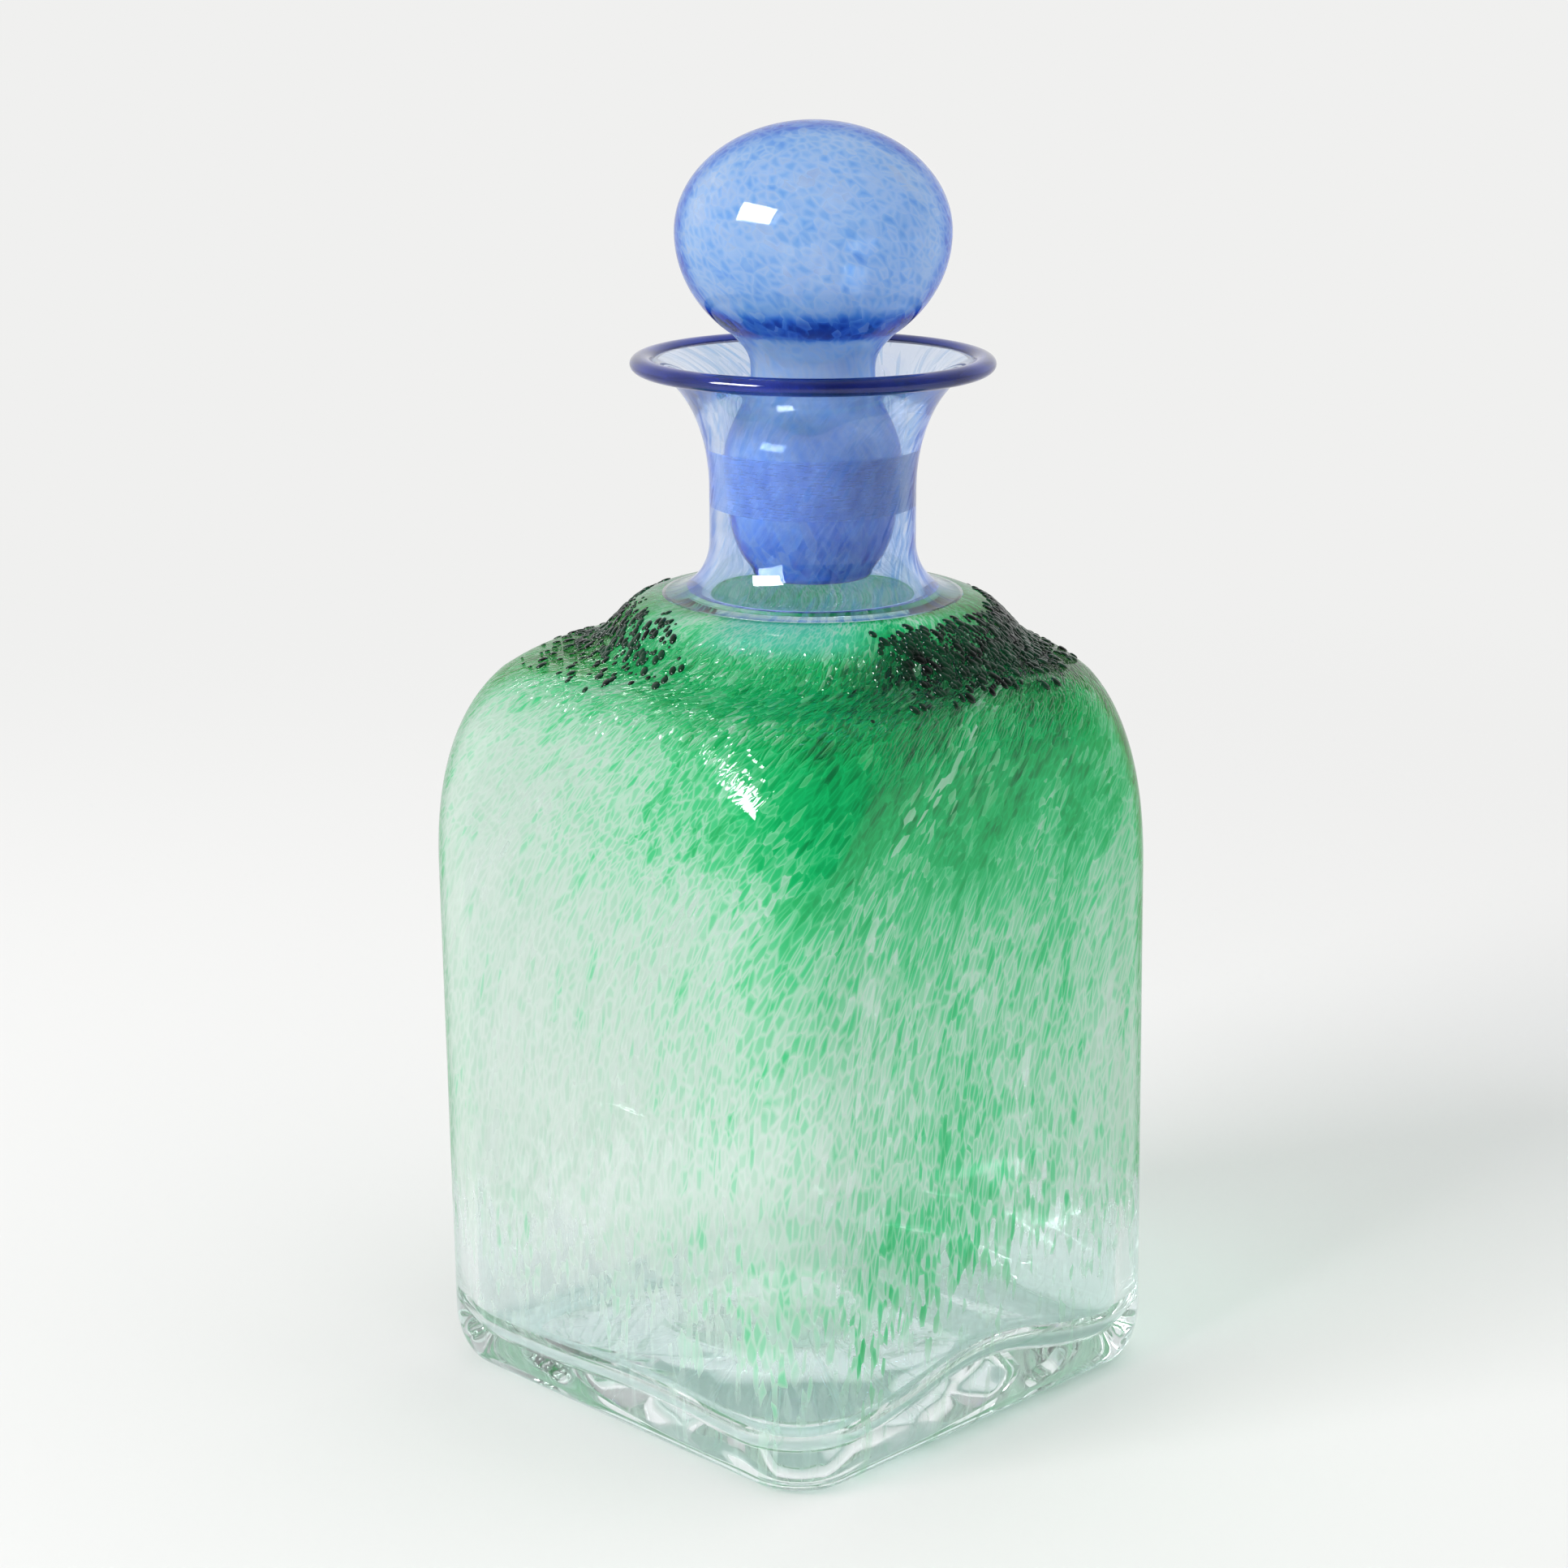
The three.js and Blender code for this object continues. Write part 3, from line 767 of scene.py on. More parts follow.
    def build(self) -> bpy.types.Object:
        """Lofts the vessel and dresses it.

        Returns:
            The piece.
        """
        outer = self.outer_rings()
        skin = Skin()
        skin.add(outer[:-1], 0)
        skin.add(outer[-1:], 2)
        skin.add(self.inner_rings(), 1)
        piece = skin.build("vessel_glass", [
            MottledGlass("mottled_green_glass", GREEN_STOPS, "#eaf6ef").material(),
            ClearGlass("clear_glass").material(),
            FusedSeam().material(),
        ], self.coat(skin.stack(), len(outer)))
        hand_in(piece, Body.BOTTLE, Slot.VESSEL, "vessel")
        return piece

    def coat(self, points: np.ndarray, outside: int) -> dict[str, np.ndarray]:
        """Where the colour lies and how it ran while the glass was hot.

        Args:
            points: Ring points of the whole vessel.
            outside: Number of rings on the outside, the only ones that are coated.

        Returns:
            The attributes flow, cover, coat, relief and the collar's painted reflection of the blue neck, for each
            point.
        """
        lay = self.lay
        gaps = np.linalg.norm(np.diff(points, axis=0), axis=2).mean(axis=1)
        run = np.concatenate([[0], np.cumsum(gaps)])
        below_seam = np.abs(run[outside - 1] - run)
        rates = np.interp(below_seam, *lay.twist)
        order = np.argsort(below_seam)
        sorted_run, sorted_rates = below_seam[order], rates[order]
        turned = np.concatenate([[0], np.cumsum(np.diff(sorted_run) * (sorted_rates[1:] + sorted_rates[:-1]) / 2)])
        twist = np.interp(below_seam, sorted_run, turned)[:, None]
        steps = np.linalg.norm(np.diff(points, axis=1, append=points[:, :1]), axis=2)
        lengths = np.cumsum(steps, axis=1) - steps
        angle = 2 * math.pi * lengths / steps.sum(axis=1, keepdims=True) + twist
        along = np.interp(below_seam, *lay.stretch)[:, None]
        flow = np.stack([self.reach * np.cos(angle), self.reach * np.sin(angle),
                         np.broadcast_to(along, angle.shape)], axis=-1) * MM

        height = points[..., 2]
        lift = np.where(np.sin(self.angles + CORNER_ANGLE) > 0, lay.hem_lift, 0)
        hem = (lift * smooth_step(self.angles_from(-CORNER_ANGLE), *lay.hem_turn))[None, :]
        fallen = height - hem * (1 - smooth_step(height, *lay.hem_fade))
        cover = smooth_step(fallen, *lay.hem)

        thick = np.interp(height, *lay.depths)
        round_from = np.degrees(self.angles_from(lay.deepest_angle))
        toward = np.interp(round_from, *lay.shares)[None, :]
        toward = toward + (1 - toward) * lay.evened * smooth_step(height, *lay.evened_heights)
        beside = smooth_step(round_from, *lay.extra_turn)
        thick = thick + lay.extra * (1 - smooth_step(height, *lay.extra_heights)) * beside[None, :]
        right, left = (smooth_step(self.angles_from(middle), outer, inner)
                       for middle, outer, inner in (lay.right_patch, lay.left_patch))
        burnt = smooth_step(height, *lay.burnt_rise) * (1 - smooth_step(height, *lay.burnt_fall))
        coat = thick * toward + lay.burnt * burnt * np.maximum(right, lay.left_share * left)[None, :]
        # Painted reflection: the collar turns teal away from the dark patches, standing in for the blue neck
        # mirrored there.
        cast = lay.cast * smooth_step(height, *lay.painted_neck_reflection_heights) * (1 - np.maximum(right, left))[None, :]
        relief = smooth_step(height, *lay.relief_rise) * (1 - smooth_step(height, *lay.relief_fall))
        for layer in (cover, coat, cast, relief):
            layer[outside:] = 0
        return {"flow": flow, "cover": cover, "coat": coat, "cast": cast, "relief": relief}


@dataclass
class ShoulderFrit:
    """Coarse crushed glass that only half melted and stands up round the neck, thinning out downwards.

    Attributes:
        vessel: The bottle that carries it.
        lowest: Height where the grains begin.
        thickest: Height where they lie closest.
        highest: Height where they end.
        end_ease: Height over which they thin out to that.
        bare_middle: Angle of the nearly bare front.
        bare_width: How far that reaches either way.
        bare_ease: Shares of the width between bare and full.
        back_ease: Shares of a half turn over which the grains give out towards the bare back.
        left_thinning: Share of the grains that the left lacks.
        left_middle: Angle of the left patch.
        left_ease: Angles from there over which it comes in.
        spacing: Least distance between grains.
        crowd: Grains per square metre before that thins them.
        smallest: Half width of the smallest grain.
        largest: Half width of the largest grain.
        flatness: Height of a grain against its width.
        seed: Start of the random draws.
    """

    vessel: Vessel
    lowest: float = 139.5
    thickest: float = 148.0
    highest: float = 154.8
    end_ease: float = 2.0
    bare_middle: float = math.radians(-55)
    bare_width: float = math.radians(28)
    bare_ease: tuple[float, float] = (0.8, 1.7)
    back_ease: tuple[float, float] = (0.6, 0.75)
    left_thinning: float = 0.55
    left_middle: float = math.radians(-118)
    left_ease: tuple[float, float] = (math.radians(50), math.radians(30))
    spacing: float = 0.62
    crowd: float = 1500000.0
    smallest: float = 0.3
    largest: float = 0.88
    flatness: float = 0.45
    seed: int = 11

    def patch(self) -> bpy.types.Object:
        """The stretch of shoulder that the grains lie on, with how densely they lie."""
        rings = np.array(self.vessel.outer_rings())
        height = rings[:, 0, 2]
        lie = rings[(height > self.lowest - 4) & (height < self.highest + 1)]
        around = lie.shape[1]
        index = np.arange(lie.shape[0] * around).reshape(lie.shape[0], around)
        quads = np.stack([index[:-1], np.roll(index[:-1], -1, axis=1), np.roll(index[1:], -1, axis=1), index[1:]],
                         axis=-1)
        mesh = bpy.data.meshes.new("frit_bed")
        mesh.from_pydata((lie.reshape(-1, 3) * MM).tolist(), [], quads.reshape(-1, 4).tolist())
        rise = smooth_step(lie[..., 2], self.lowest, self.thickest)
        fall = 1 - smooth_step(lie[..., 2], self.highest - self.end_ease, self.highest)
        off = self.vessel.angles_from(self.bare_middle)
        beside = smooth_step(off, *(self.bare_width * share for share in self.bare_ease))
        beside *= 1 - smooth_step(off, *(HALF_TURN * share for share in self.back_ease))
        beside *= 1 - self.left_thinning * smooth_step(self.vessel.angles_from(self.left_middle), *self.left_ease)
        layer = mesh.attributes.new("crowd", "FLOAT", "POINT")
        layer.data.foreach_set("value", (rise ** 2 * fall * beside).astype(np.float32).ravel())
        bed = bpy.data.objects.new("frit_bed", mesh)
        bpy.context.scene.collection.objects.link(bed)
        return bed

    def tree(self, finish: bpy.types.Material) -> bpy.types.NodeTree:
        """Geometry nodes that strew grains over the bed.

        Args:
            finish: Material of the grains.

        Returns:
            The node group, with named inputs for its sizes.
        """
        tree = bpy.data.node_groups.new("strewn_frit", "GeometryNodeTree")
        face = tree.interface
        face.new_socket("Geometry", in_out="INPUT", socket_type="NodeSocketGeometry")
        for label in ("Spacing", "Crowd", "Smallest", "Largest", "Flatness"):
            face.new_socket(label, in_out="INPUT", socket_type="NodeSocketFloat")
        face.new_socket("Seed", in_out="INPUT", socket_type="NodeSocketInt")
        face.new_socket("Geometry", in_out="OUTPUT", socket_type="NodeSocketGeometry")
        sizes = add(tree, "NodeGroupInput").outputs
        crowd = add(tree, "GeometryNodeInputNamedAttribute", {"Name": "crowd"}, data_type="FLOAT")
        strewn = add(tree, "GeometryNodeDistributePointsOnFaces", {
            "Mesh": sizes["Geometry"], "Distance Min": sizes["Spacing"], "Density Max": sizes["Crowd"],
            "Density Factor": crowd, "Seed": sizes["Seed"],
        }, distribute_method="POISSON")
        grain = add(tree, "GeometryNodeMeshUVSphere", {"Segments": 8, "Rings": 5, "Radius": 1.0})
        rounded = add(tree, "GeometryNodeSetShadeSmooth", {"Geometry": grain})
        size = add(tree, "FunctionNodeRandomValue", {2: sizes["Smallest"], 3: sizes["Largest"],
                                                     "Seed": sizes["Seed"]}, data_type="FLOAT")
        lengthen = add(tree, "FunctionNodeRandomValue", {2: 0.8, 3: 1.7, "Seed": sizes["Seed"]},
                       data_type="FLOAT")
        long = add(tree, "ShaderNodeMath", {0: size, 1: lengthen}, operation="MULTIPLY")
        low = add(tree, "ShaderNodeMath", {0: size, 1: sizes["Flatness"]}, operation="MULTIPLY")
        shape = add(tree, "ShaderNodeCombineXYZ", {"X": size, "Y": long, "Z": low})
        laid = add(tree, "GeometryNodeInstanceOnPoints", {
            "Points": strewn.outputs["Points"], "Instance": rounded, "Rotation": strewn.outputs["Rotation"],
            "Scale": shape,
        })
        twirl = add(tree, "FunctionNodeRandomValue", {2: -0.7, 3: 0.7, "Seed": sizes["Seed"]}, data_type="FLOAT")
        about = add(tree, "ShaderNodeCombineXYZ", {"Z": twirl})
        turned = add(tree, "GeometryNodeRotateInstances", {"Instances": laid, "Rotation": about,
                                                           "Local Space": True})
        real = add(tree, "GeometryNodeRealizeInstances", {"Geometry": turned})
        dressed = add(tree, "GeometryNodeSetMaterial", {"Geometry": real, "Material": finish})
        add(tree, "NodeGroupOutput", {"Geometry": dressed})
        return tree

    def build(self) -> bpy.types.Object:
        """Strews the grains and makes them a plain mesh.

        Returns:
            The piece.
        """
        finish = DarkGlass("dark_green_frit", "#083c24", "#010a06", patch=5.0, clearness=0.2, ior=1.33).material()
        bed = self.patch()
        tree = self.tree(finish)
        modifier = bed.modifiers.new("strew", "NODES")
        modifier.node_group = tree
        values = {"Spacing": self.spacing * MM, "Crowd": self.crowd, "Smallest": self.smallest * MM,
                  "Largest": self.largest * MM, "Flatness": self.flatness, "Seed": self.seed}
        for item in tree.interface.items_tree:
            if item.name in values and item.in_out == "INPUT":
                modifier[item.identifier] = values[item.name]
        shown = bed.evaluated_get(bpy.context.evaluated_depsgraph_get())
        mesh = bpy.data.meshes.new_from_object(shown)
        piece = bpy.data.objects.new("shoulder_frit_grains", mesh)
        bpy.context.scene.collection.objects.link(piece)
        bpy.data.objects.remove(bed)
        hand_in(piece, Body.BOTTLE, Slot.FRIT, "shoulder_frit")
        return piece


@dataclass
class Turned:
    """A piece of glass that is round about the neck's axis."""

    axis: np.ndarray
    around: int = 192

    def __post_init__(self) -> None:
        """Works out the angles of a ring's points."""
        self.angles = np.linspace(0, 2 * math.pi, self.around, endpoint=False)

    def rings(self, profile: Profile) -> list[np.ndarray]:
        """Rings for the points of a profile.

        Args:
            profile: Points as (radius, height).

        Returns:
            One ring for each.
        """
        spin = np.stack([np.cos(self.angles), np.sin(self.angles)], axis=-1)
        return [np.column_stack([self.axis + spin * r, np.full(self.around, z)]) for r, z in profile]


@dataclass
class Neck(Turned):
    """The blue neck: foot fused to the collar, stem, trumpet mouth, and the ground seat in its bore."""

    foot_height: float = 155.4
    seam_radius: float = 28.5
    throat_radius: float = 23.0
    bore: float = 16.8
    wall: float = 2.7
    foot_rise: float = 10.0
    seat_start: float = 16.5
    seat_length: float = 11.5
    seat_taper: float = 0.05
    height: float = 43.5
    flare_rise: float = 23.5
    flare_width: float = 14.5
    flare_end: float = math.acos(0.27)
    edge: float = 1.7
    seam_gap: float = 0.004
    streak_turn: float = 0.03
    streak_stretch: float = 4.5

    def __post_init__(self) -> None:
        """Works out the sizes that follow from the fields."""
        super().__post_init__()
        self.stem = self.bore + self.wall
        self.seat_bottom = self.foot_height + self.seat_start
        self.seat_top = self.seat_bottom + self.seat_length
        self.bore_bottom = self.bore - self.seat_taper * self.seat_length
        self.flare_base = self.foot_height + self.height - self.flare_rise
        self.flare_centre = self.stem + self.flare_width
        self.tip = (self.flare_centre - self.flare_width * math.cos(self.flare_end),
                    self.flare_base + self.flare_rise * math.sin(self.flare_end))

    def build(self) -> bpy.types.Object:
        """Lofts the neck and dresses it.

        Returns:
            The piece.
        """
        # The handles of the curves are shares of the lengths that they span, as in the solids.
        base = self.foot_height + self.seam_gap
        outside = [(self.seam_radius, base)]
        outside += arc((self.seam_radius, base + self.foot_rise), (self.seam_radius - self.stem, self.foot_rise),
                       -RIGHT_ANGLE, -HALF_TURN, 18)
        outside += line((self.stem, base + self.foot_rise), (self.stem, self.flare_base), 6)
        outside += arc((self.flare_centre, self.flare_base), (self.flare_width, self.flare_rise),
                       HALF_TURN, HALF_TURN - self.flare_end, 28)
        lip_top = (self.tip[0], self.tip[1] + self.edge)
        mouth = line(self.tip, lip_top, 3)
        mouth += bezier(lip_top, (self.tip[0] - self.flare_width * 0.5, self.tip[1] + self.edge * 0.4),
                        (self.bore, self.seat_top + self.flare_rise * 0.3), (self.bore, self.seat_top), 24)
        seat = line((self.bore, self.seat_top), (self.bore_bottom, self.seat_bottom), 6)
        throat = bezier((self.bore_bottom, self.seat_bottom),
                        (self.bore_bottom, self.seat_bottom - self.seat_start * 0.62),
                        (self.throat_radius - (self.throat_radius - self.bore_bottom) * 0.62,
                         base + self.seat_start * 0.1), (self.throat_radius, base), 16)
        skin = Skin(joined=True)
        skin.add(self.rings(outside), 0)
        skin.add(self.rings(mouth[:-1]), 1)
        skin.add(self.rings(mouth[-1:] + seat[:-1]), 2)
        skin.add(self.rings(seat[-1:] + throat[:-1]), 1)
        skin.add(self.rings(throat[-1:]), 3)
        points = skin.stack()
        rise = points[..., 2] - base
        angle = self.angles[None, :] - self.streak_turn * rise
        flow = np.stack([self.stem * np.cos(angle), self.stem * np.sin(angle),
                         rise / self.streak_stretch], axis=-1) * MM
        coat = np.interp(rise, [0, 8, 20, 32, 43], [0.3, 0.4, 0.46, 0.4, 0.3])
        piece = skin.build("neck_glass", [
            MottledGlass("streaked_blue_glass", BLUE_STOPS, "#cfdcf4", clear="#d3dff7", cell=0.8,
                         clearness=0.86, thin_clearness=0.86, glow=0.1, passing=0.9, rim=5.0, relief=0.0,
                         swell=0.1).material(),
            ClearGlass("pale_blue_clear_glass", tint="#e9f1fd").material(),
            GroundGlass("ground_seat", tint="#7ea5dd", streak="#9dbcea", clearness=0.5).material(),
            FusedSeam("fused_seam_neck").material(),
        ], {"flow": flow, "cover": np.full_like(coat, 0.4), "coat": coat, "relief": np.zeros_like(coat)})
        hand_in(piece, Body.BOTTLE, Slot.NECK, "neck")
        return piece


@dataclass
class LipWrap(Turned):
    """The cobalt thread wound on the flare's edge and melted round."""

    edge: tuple[float, float] = (30.0, 198.0)
    outer: float = 34.2
    height: float = 3.3
    bite: float = 0.4

    def build(self) -> bpy.types.Object:
        """Lofts the wrap and dresses it.

        Returns:
            The piece.
        """
        inner = self.edge[0] - self.bite
        centre = ((inner + self.outer) / 2, self.edge[1])
        section = arc(centre, ((self.outer - inner) / 2, self.height / 2), -RIGHT_ANGLE, 3 * RIGHT_ANGLE, 28)
        skin = Skin(joined=True)
        skin.add(self.rings(section), 0)
        finish = DarkGlass("cobalt_glass", "#3a4fb4", "#1b2a78", patch=18.0, clearness=0.75).material()
        piece = skin.build("lip_wrap_glass", [finish])
        hand_in(piece, Body.BOTTLE, Slot.LIP, "lip_wrap")
        return piece


@dataclass
class Stopper(Turned):
    """The ball stopper: blown bulb, waist and ground plug in one hollow piece, open at its lower end."""

    seat_bottom: float = 171.9
    seat_top: float = 183.4
    plug_top: float = 16.5
    plug_bottom: float = 15.925
    seat_taper: float = 0.05
    bulb: float = 25.75
    bulb_top: float = 20.3
    bulb_bottom: float = 23.2
    bulb_wall: float = 5.0
    waist: float = 11.7
    waist_wall: float = 5.0
    waist_rise: float = 11.0
    waist_length: float = 10.2
    shoulder: float = 5.5
    tip_length: float = 13.5
    tip_radius: float = 11.3
    plug_wall: float = 5.5
    mouth_wall: float = 4.0
    bulb_turn: float = 0.8
    twist_rate: float = 0.02

    def build(self) -> bpy.types.Object:
        """Lofts the stopper and dresses it.

        Returns:
            The piece.
        """
        tip = self.seat_bottom - self.tip_length
        lip = self.mouth_wall / 2
        mouth = self.tip_radius - self.mouth_wall
        narrow = self.seat_top + self.waist_rise
        equator = narrow + self.waist_length + self.bulb_bottom * self.bulb_turn
        join = math.asin(self.bulb_turn)
        bulb_foot = (self.bulb * math.cos(join), equator - self.bulb_bottom * math.sin(join))
        waist_bore = self.waist - self.waist_wall
        plug_bore = self.plug_bottom - self.plug_wall
        plug_middle = (self.seat_bottom + self.seat_top) / 2
        hollow = (self.bulb - self.bulb_wall, self.bulb_top - self.bulb_wall)

        # The handles of the curves are shares of the lengths that they span, as in the solids.
        inside = arc((0, equator), hollow, RIGHT_ANGLE, 0, 30)
        inside += bezier((hollow[0], equator), (hollow[0], narrow + self.waist_length),
                         (waist_bore, narrow + self.waist_length * 0.9), (waist_bore, narrow), 24)
        inside += bezier((waist_bore, narrow), (waist_bore, self.seat_top + self.shoulder * 0.4),
                         (plug_bore, self.seat_top + self.shoulder * 0.6), (plug_bore, plug_middle), 16)
        inside += bezier((plug_bore, plug_middle), (plug_bore, self.seat_bottom - self.tip_length * 0.3),
                         (mouth, self.seat_bottom - self.tip_length * 0.3), (mouth, tip + lip), 14)
        lower = arc((mouth + lip, tip + lip), (lip, lip), HALF_TURN, 2 * HALF_TURN, 12)
        lower += bezier((self.tip_radius, tip + lip), (self.tip_radius + lip, tip + lip * 3),
                        (self.plug_bottom - self.seat_taper * self.tip_length,
                         self.seat_bottom - self.tip_length * 0.4),
                        (self.plug_bottom, self.seat_bottom), 16)
        ground = line((self.plug_bottom, self.seat_bottom), (self.plug_top, self.seat_top), 8)
        upper = bezier((self.plug_top, self.seat_top), (self.plug_top, self.seat_top + self.shoulder * 1.1),
                       (self.waist, narrow - (self.waist_rise - self.shoulder) * 0.7), (self.waist, narrow), 18)
        upper += bezier((self.waist, narrow), (self.waist, narrow + self.waist_length * 0.45),
                        (bulb_foot[0] - self.waist_length * 0.45, bulb_foot[1] - self.waist_length * 0.42),
                        bulb_foot, 18)
        upper += arc((0, equator), (self.bulb, self.bulb_bottom), -join, 0, 20)
        upper += arc((0, equator), (self.bulb, self.bulb_top), 0, RIGHT_ANGLE, 30)[:-1]

        skin = Skin()
        skin.add(self.rings(inside[:-1]), 1)
        skin.add(self.rings(inside[-1:] + lower[:-1]), 0)
        skin.add(self.rings(lower[-1:] + ground[:-1]), 2)
        skin.add(self.rings(ground[-1:] + upper), 0)
        points = skin.stack()
        height = points[..., 2]
        outward = points[..., :2] - self.axis
        twist = self.twist_rate * (height - equator)
        turned = np.stack([outward[..., 0] * np.cos(twist) - outward[..., 1] * np.sin(twist),
                           outward[..., 0] * np.sin(twist) + outward[..., 1] * np.cos(twist)], axis=-1)
        # Below the waist the glass was pulled out long, so the pattern counts less of the height there.
        steep = np.interp(height, [tip, narrow, equator - 10, equator + self.bulb_top],
                          [0, (narrow - tip) / 4, (narrow - tip) / 4 + 7, (narrow - tip) / 4 + 37])
        flow = np.concatenate([turned, steep[..., None]], axis=-1) * MM
        # Painted shade: the deep band just above the ball's foot stands in for the dark that refraction through the
        # thick wall there shows. Painted light: the waist is paler to make up for the shade of the neck's flare
        # round it.
        coat = np.interp(height, [tip, self.seat_top, narrow, equator - 19, equator - 17.5, equator - 14.5,
                                  equator - 12.5, equator + self.bulb_top],
                         [0.84, 0.36, 0.17, 0.26, 0.94, 0.92, 0.42, 0.39])
        cover = np.ones_like(coat)
        coat[:len(inside)] = 0
        cover[:len(inside)] = 0
        piece = skin.build("stopper_glass", [
            MottledGlass("mottled_blue_glass", BLUE_STOPS, "#cfe2f6", clear="#e6eefb", cell=1.9, spot=3.0,
                         net_width=0.42, net_strength=0.42, cell_spread=0.22, core_spread=0.1, spot_spread=0.08,
                         cloud_spread=0.5, relief=0.0, swell=0.05).material(),
            ClearGlass("blue_cast_clear_glass", tint="#d5ebff").material(),
            GroundGlass("ground_plug", tint="#4385cf", streak="#7eb0e4", clearness=0.4).material(),
        ], {"flow": flow, "cover": cover, "coat": coat, "relief": np.zeros_like(coat)})
        hand_in(piece, Body.STOPPER, Slot.STOPPER, "stopper")
        return piece


@dataclass
class Studio:
    """Pale floor, a soft window on the left, a light room and the photograph's camera."""

    azimuth: float = math.radians(45)
    pitch: float = math.radians(14.88)
    distance: float = 656.7
    height: float = 292.1
    sideways: float = -2.1
    focal_pixels: float = 4356.0
    picture_pixels: float = 1932.0
    sensor: float = 36.0
    floor_radius: float = 12000.0
    lit_floor: tuple[float, float] = (240.0, 800.0)
    floor_drop: float = 0.3
    floor_colour: str = "#e8e8e7"
    backdrop_colour: str = "#f0f0ef"
    ambient_level: float = 0.81
    ambient_tilt: float = 0.45
    wall_level: float = 0.95
    wall_turn: float = math.radians(-20)
    wall_range: tuple[float, float] = (-0.9, 0.5)
    dim_level: float = 0.14
    ceiling_level: float = 0.6
    ceiling_range: tuple[float, float] = (0.2, 0.9)
    window_left: float = math.radians(54)
    window_rise: float = math.radians(30)
    window_distance: float = 3000.0
    window_size: tuple[float, float] = (1600.0, 950.0)
    window_lift: float = 120.0
    window_power: float = 68.0
    window_gleam: float = 24.0
    bounces: int = 24

    def toward_camera(self, turn: float = 0.0) -> np.ndarray:
        """Level direction from the object towards the camera, turned to the camera's left by an angle."""
        a = self.azimuth - turn
        return np.array([math.sin(a), -math.cos(a), 0.0])

    def camera(self) -> None:
        """Puts the camera where the photograph was taken from."""
        data = bpy.data.cameras.new("camera")
        data.sensor_width = self.sensor
        data.lens = self.sensor * self.focal_pixels / self.picture_pixels
        camera = bpy.data.objects.new("camera", data)
        right = np.array([math.cos(self.azimuth), math.sin(self.azimuth), 0.0])
        place = self.toward_camera() * self.distance + right * self.sideways + np.array([0, 0, self.height])
        camera.location = Vector(place * MM)
        camera.rotation_euler = (RIGHT_ANGLE - self.pitch, 0, self.azimuth)
        bpy.context.scene.collection.objects.link(camera)
        bpy.context.scene.camera = camera

    @staticmethod
    def looking(tree: bpy.types.NodeTree) -> bpy.types.Node:
        """Adds nodes that give 1 for what the camera sees, straight, mirrored or through glass."""
        ray = add(tree, "ShaderNodeLightPath").outputs
        mirrored = add(tree, "ShaderNodeMath", {0: ray["Is Camera Ray"], 1: ray["Is Glossy Ray"]},
                       operation="MAXIMUM")
        return add(tree, "ShaderNodeMath", {0: mirrored, 1: ray["Is Transmission Ray"]}, operation="MAXIMUM")

    def gleam(self, tree: bpy.types.NodeTree, look: bpy.types.NodeSocket, ahead: np.ndarray) -> bpy.types.Node:
        """Adds nodes that give 1 within the window's outline as polished glass mirrors it.

        Args:
            tree: The room's tree.
            look: Direction that a ray leaves in.
            ahead: Direction of the window's middle.

        Returns:
            The node with the result.
        """
        sideways = np.cross(ahead, (0, 0, 1))
        sideways = sideways / np.linalg.norm(sideways)
        upward = np.cross(sideways, ahead)
        inside: Any = 1.0
        for axis, size in ((sideways, self.window_size[0]), (upward, self.window_size[1])):
            off = add(tree, "ShaderNodeVectorMath", {0: look, 1: tuple(axis)}, operation="DOT_PRODUCT")
            far = add(tree, "ShaderNodeMath", {0: off.outputs["Value"]}, operation="ABSOLUTE")
            half = size / 2 / math.hypot(self.window_distance, size / 2)
            within = add(tree, "ShaderNodeMath", {0: far, 1: half}, operation="LESS_THAN")
            inside = add(tree, "ShaderNodeMath", {0: within, 1: inside}, operation="MULTIPLY")
        front = add(tree, "ShaderNodeVectorMath", {0: look, 1: tuple(ahead)}, operation="DOT_PRODUCT")
        facing = add(tree, "ShaderNodeMath", {0: front.outputs["Value"], 1: 0.0}, operation="GREATER_THAN")
        return add(tree, "ShaderNodeMath", {0: inside, 1: facing}, operation="MULTIPLY")

    def floor(self) -> None:
        """Lays a wide round floor of matt white paint, which far from the object is an even pale backdrop."""
        mesh = bpy.data.meshes.new("floor")
        shape = bmesh.new()
        bmesh.ops.create_circle(shape, cap_ends=True, radius=self.floor_radius * MM, segments=96)
        bmesh.ops.translate(shape, verts=shape.verts, vec=(0, 0, -self.floor_drop * MM))
        shape.to_mesh(mesh)
        shape.free()
        material, tree = new_material("matt_white_paint")
        paint = add(tree, "ShaderNodeBsdfDiffuse", {"Color": linear(self.floor_colour)})
        even = add(tree, "ShaderNodeEmission", {"Color": linear(self.backdrop_colour)})
        place = add(tree, "ShaderNodeTexCoord").outputs["Object"]
        away = add(tree, "ShaderNodeVectorMath", {0: place}, operation="LENGTH").outputs["Value"]
        far = add(tree, "ShaderNodeMapRange", {"Value": away, "From Min": self.lit_floor[0] * MM,
                                               "From Max": self.lit_floor[1] * MM},
                  interpolation_type="SMOOTHSTEP")
        share = add(tree, "ShaderNodeMath", {0: far, 1: self.looking(tree)}, operation="MULTIPLY")
        sheet = add(tree, "ShaderNodeMixShader", {0: share, 1: paint, 2: even})
        add(tree, "ShaderNodeOutputMaterial", {"Surface": sheet})
        mesh.materials.append(material)
        floor = bpy.data.objects.new("floor", mesh)
        bpy.context.scene.collection.objects.link(floor)

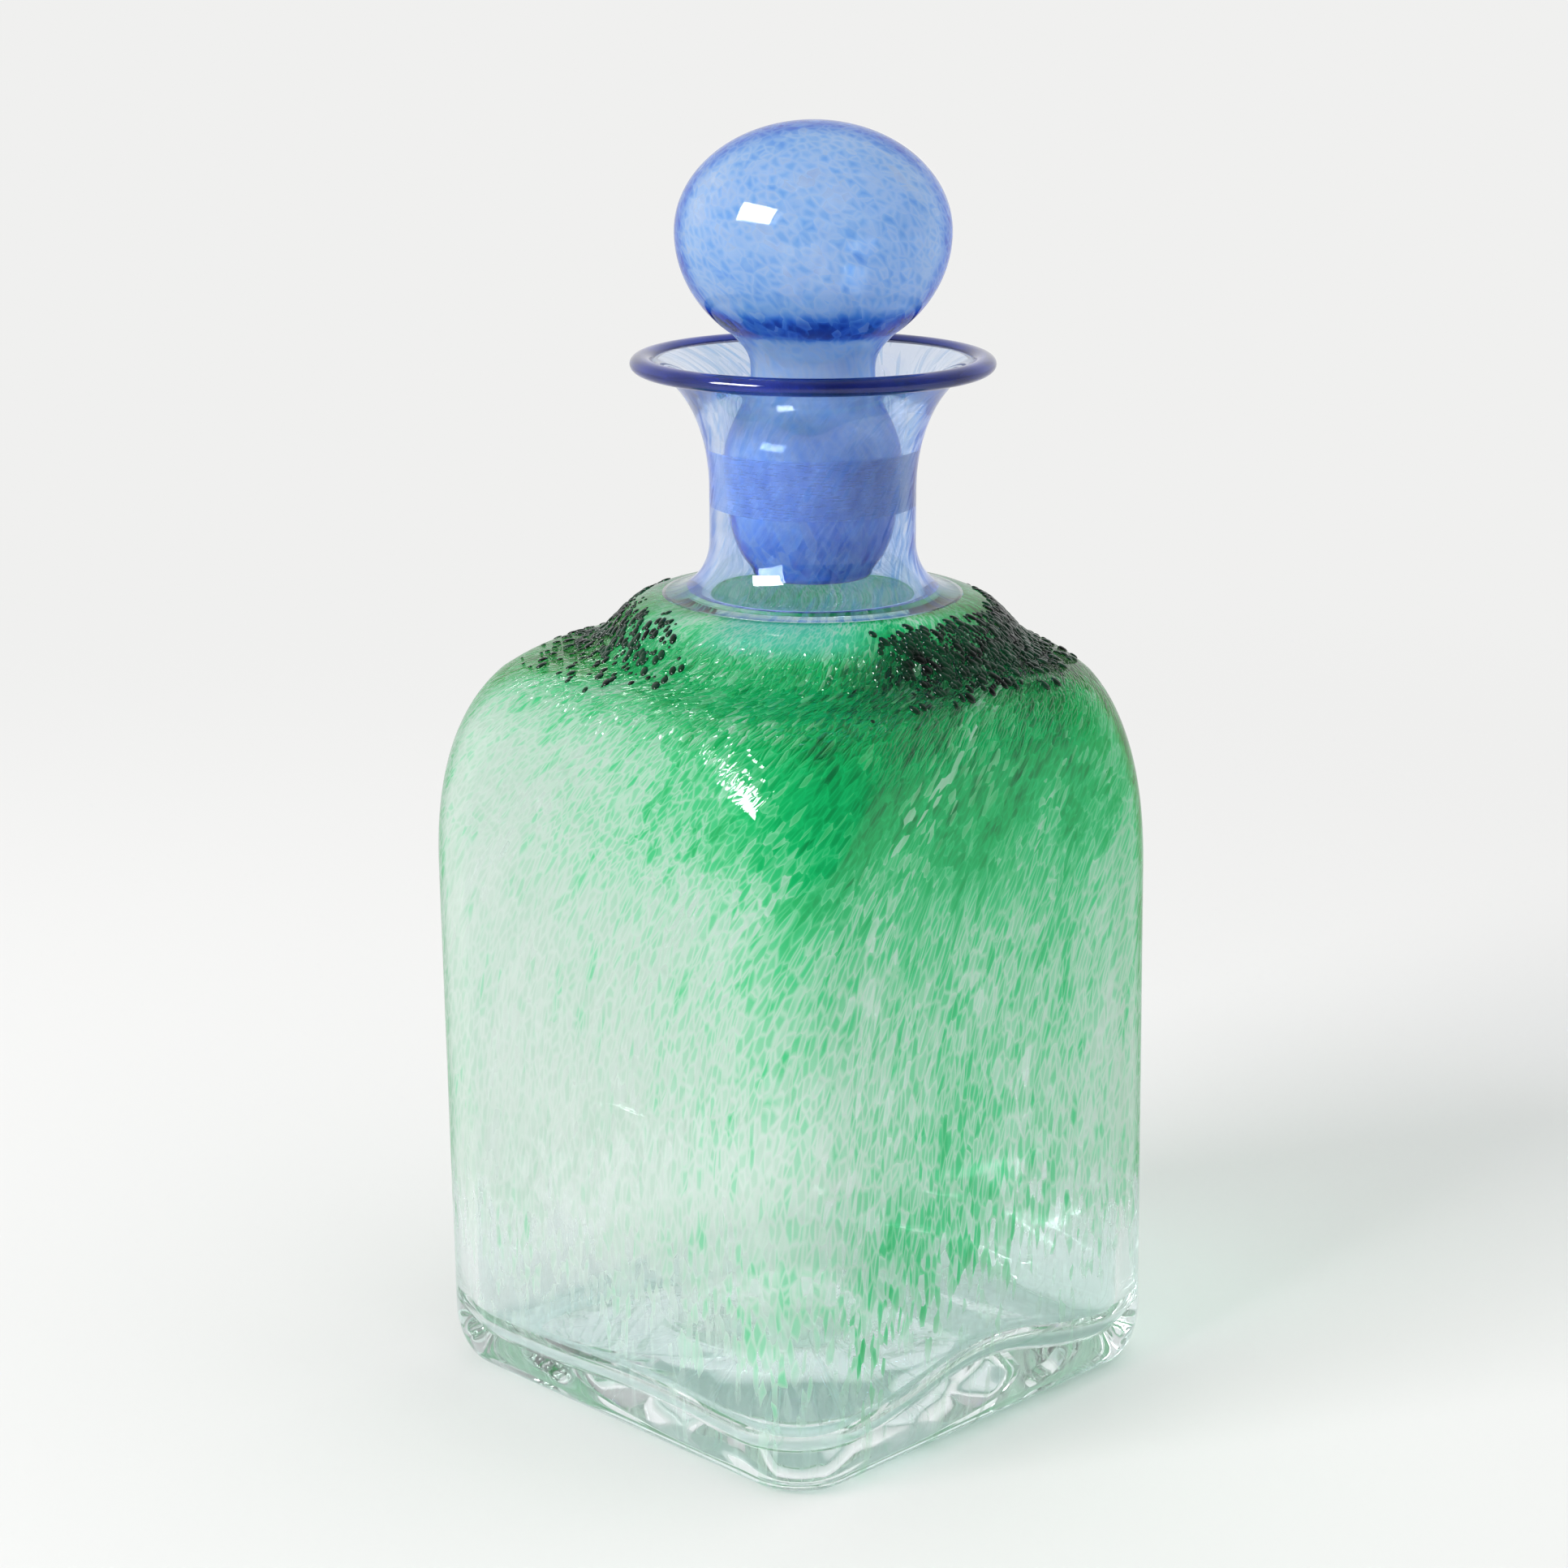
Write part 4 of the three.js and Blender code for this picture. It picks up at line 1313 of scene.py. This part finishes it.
    def lights(self) -> None:
        """Hangs the window and sets a room that is bright behind the object and dimmer above and before it."""
        data = bpy.data.lights.new("window", "AREA")
        data.shape = "RECTANGLE"
        data.size, data.size_y = (s * MM for s in self.window_size)
        data.energy = self.window_power
        window = bpy.data.objects.new("window", data)
        level = self.toward_camera(self.window_left) * math.cos(self.window_rise)
        ahead = level + np.array([0, 0, math.sin(self.window_rise)])
        window.location = Vector(ahead * self.window_distance * MM) + Vector((0, 0, self.window_lift * MM))
        window.rotation_euler = Vector(-ahead).to_track_quat("-Z", "Y").to_euler()
        bpy.context.scene.collection.objects.link(window)

        world = bpy.data.worlds.new("room")
        world.use_nodes = True
        tree = world.node_tree
        tree.nodes.clear()
        look = add(tree, "ShaderNodeTexCoord").outputs["Generated"]
        back = tuple(-self.toward_camera(self.wall_turn))
        facing = add(tree, "ShaderNodeVectorMath", {0: look, 1: back}, operation="DOT_PRODUCT").outputs["Value"]
        room = add(tree, "ShaderNodeMapRange", {"Value": facing, "From Min": self.wall_range[0],
                                                "From Max": self.wall_range[1], "To Min": self.dim_level,
                                                "To Max": self.wall_level},
                   interpolation_type="SMOOTHSTEP")
        upward = add(tree, "ShaderNodeSeparateXYZ", {0: look}).outputs["Z"]
        overhead = add(tree, "ShaderNodeMapRange", {"Value": upward, "From Min": self.ceiling_range[0],
                                                    "From Max": self.ceiling_range[1], "To Min": 1.0,
                                                    "To Max": self.ceiling_level})
        room = add(tree, "ShaderNodeMath", {0: room, 1: overhead}, operation="MULTIPLY")
        gleam = self.gleam(tree, look, ahead)
        glossy = add(tree, "ShaderNodeLightPath").outputs["Is Glossy Ray"]
        shine = add(tree, "ShaderNodeMath", {0: glossy, 1: self.window_gleam}, operation="MULTIPLY")
        mirrored = add(tree, "ShaderNodeMath", {0: gleam, 1: shine, 2: room}, operation="MULTIPLY_ADD")
        right = (math.cos(self.azimuth), math.sin(self.azimuth), 0.0)
        beside = add(tree, "ShaderNodeVectorMath", {0: look, 1: right}, operation="DOT_PRODUCT").outputs["Value"]
        ambient = add(tree, "ShaderNodeMath", {0: beside, 1: self.ambient_tilt, 2: self.ambient_level},
                      operation="MULTIPLY_ADD")
        around = add(tree, "ShaderNodeMix", {0: self.looking(tree), 2: ambient, 3: mirrored}, data_type="FLOAT")
        seen = add(tree, "ShaderNodeLightPath").outputs["Is Camera Ray"]
        level = add(tree, "ShaderNodeMix", {0: seen, 2: around, 3: linear(self.backdrop_colour)[1]},
                    data_type="FLOAT")
        light = add(tree, "ShaderNodeBackground", {"Color": (1.0, 1.0, 1.0, 1.0), "Strength": level})
        add(tree, "ShaderNodeOutputWorld", {"Surface": light})
        bpy.context.scene.world = world

    def build(self) -> None:
        """Sets up the whole studio."""
        scene = bpy.context.scene
        scene.view_settings.view_transform = "Standard"
        scene.cycles.max_bounces = self.bounces
        scene.cycles.transmission_bounces = self.bounces
        scene.cycles.glossy_bounces = self.bounces
        scene.cycles.transparent_max_bounces = self.bounces
        self.camera()
        self.floor()
        self.lights()


def main() -> None:
    """Builds the studio and every piece, with the neck's axis and the seam's height read from the solids."""
    logging.basicConfig(level=logging.INFO, format="%(name)s: %(message)s")
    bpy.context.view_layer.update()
    Studio().build()
    neck_low, neck_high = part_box("neck")
    axis = np.array([(neck_low.x + neck_high.x) / 2, (neck_low.y + neck_high.y) / 2]) / MM
    seam_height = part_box("vessel")[1].z / MM
    vessel = Vessel(seam_height=seam_height, neck_centre=axis)
    vessel.build()
    ShoulderFrit(vessel).build()
    neck = Neck(axis=axis, foot_height=seam_height)
    neck.build()
    LipWrap(axis=axis, edge=(neck.tip[0], neck.tip[1] + neck.edge / 2)).build()
    Stopper(axis=axis, seat_bottom=neck.seat_bottom, seat_top=neck.seat_top).build()


if __name__ == "__main__":
    main()
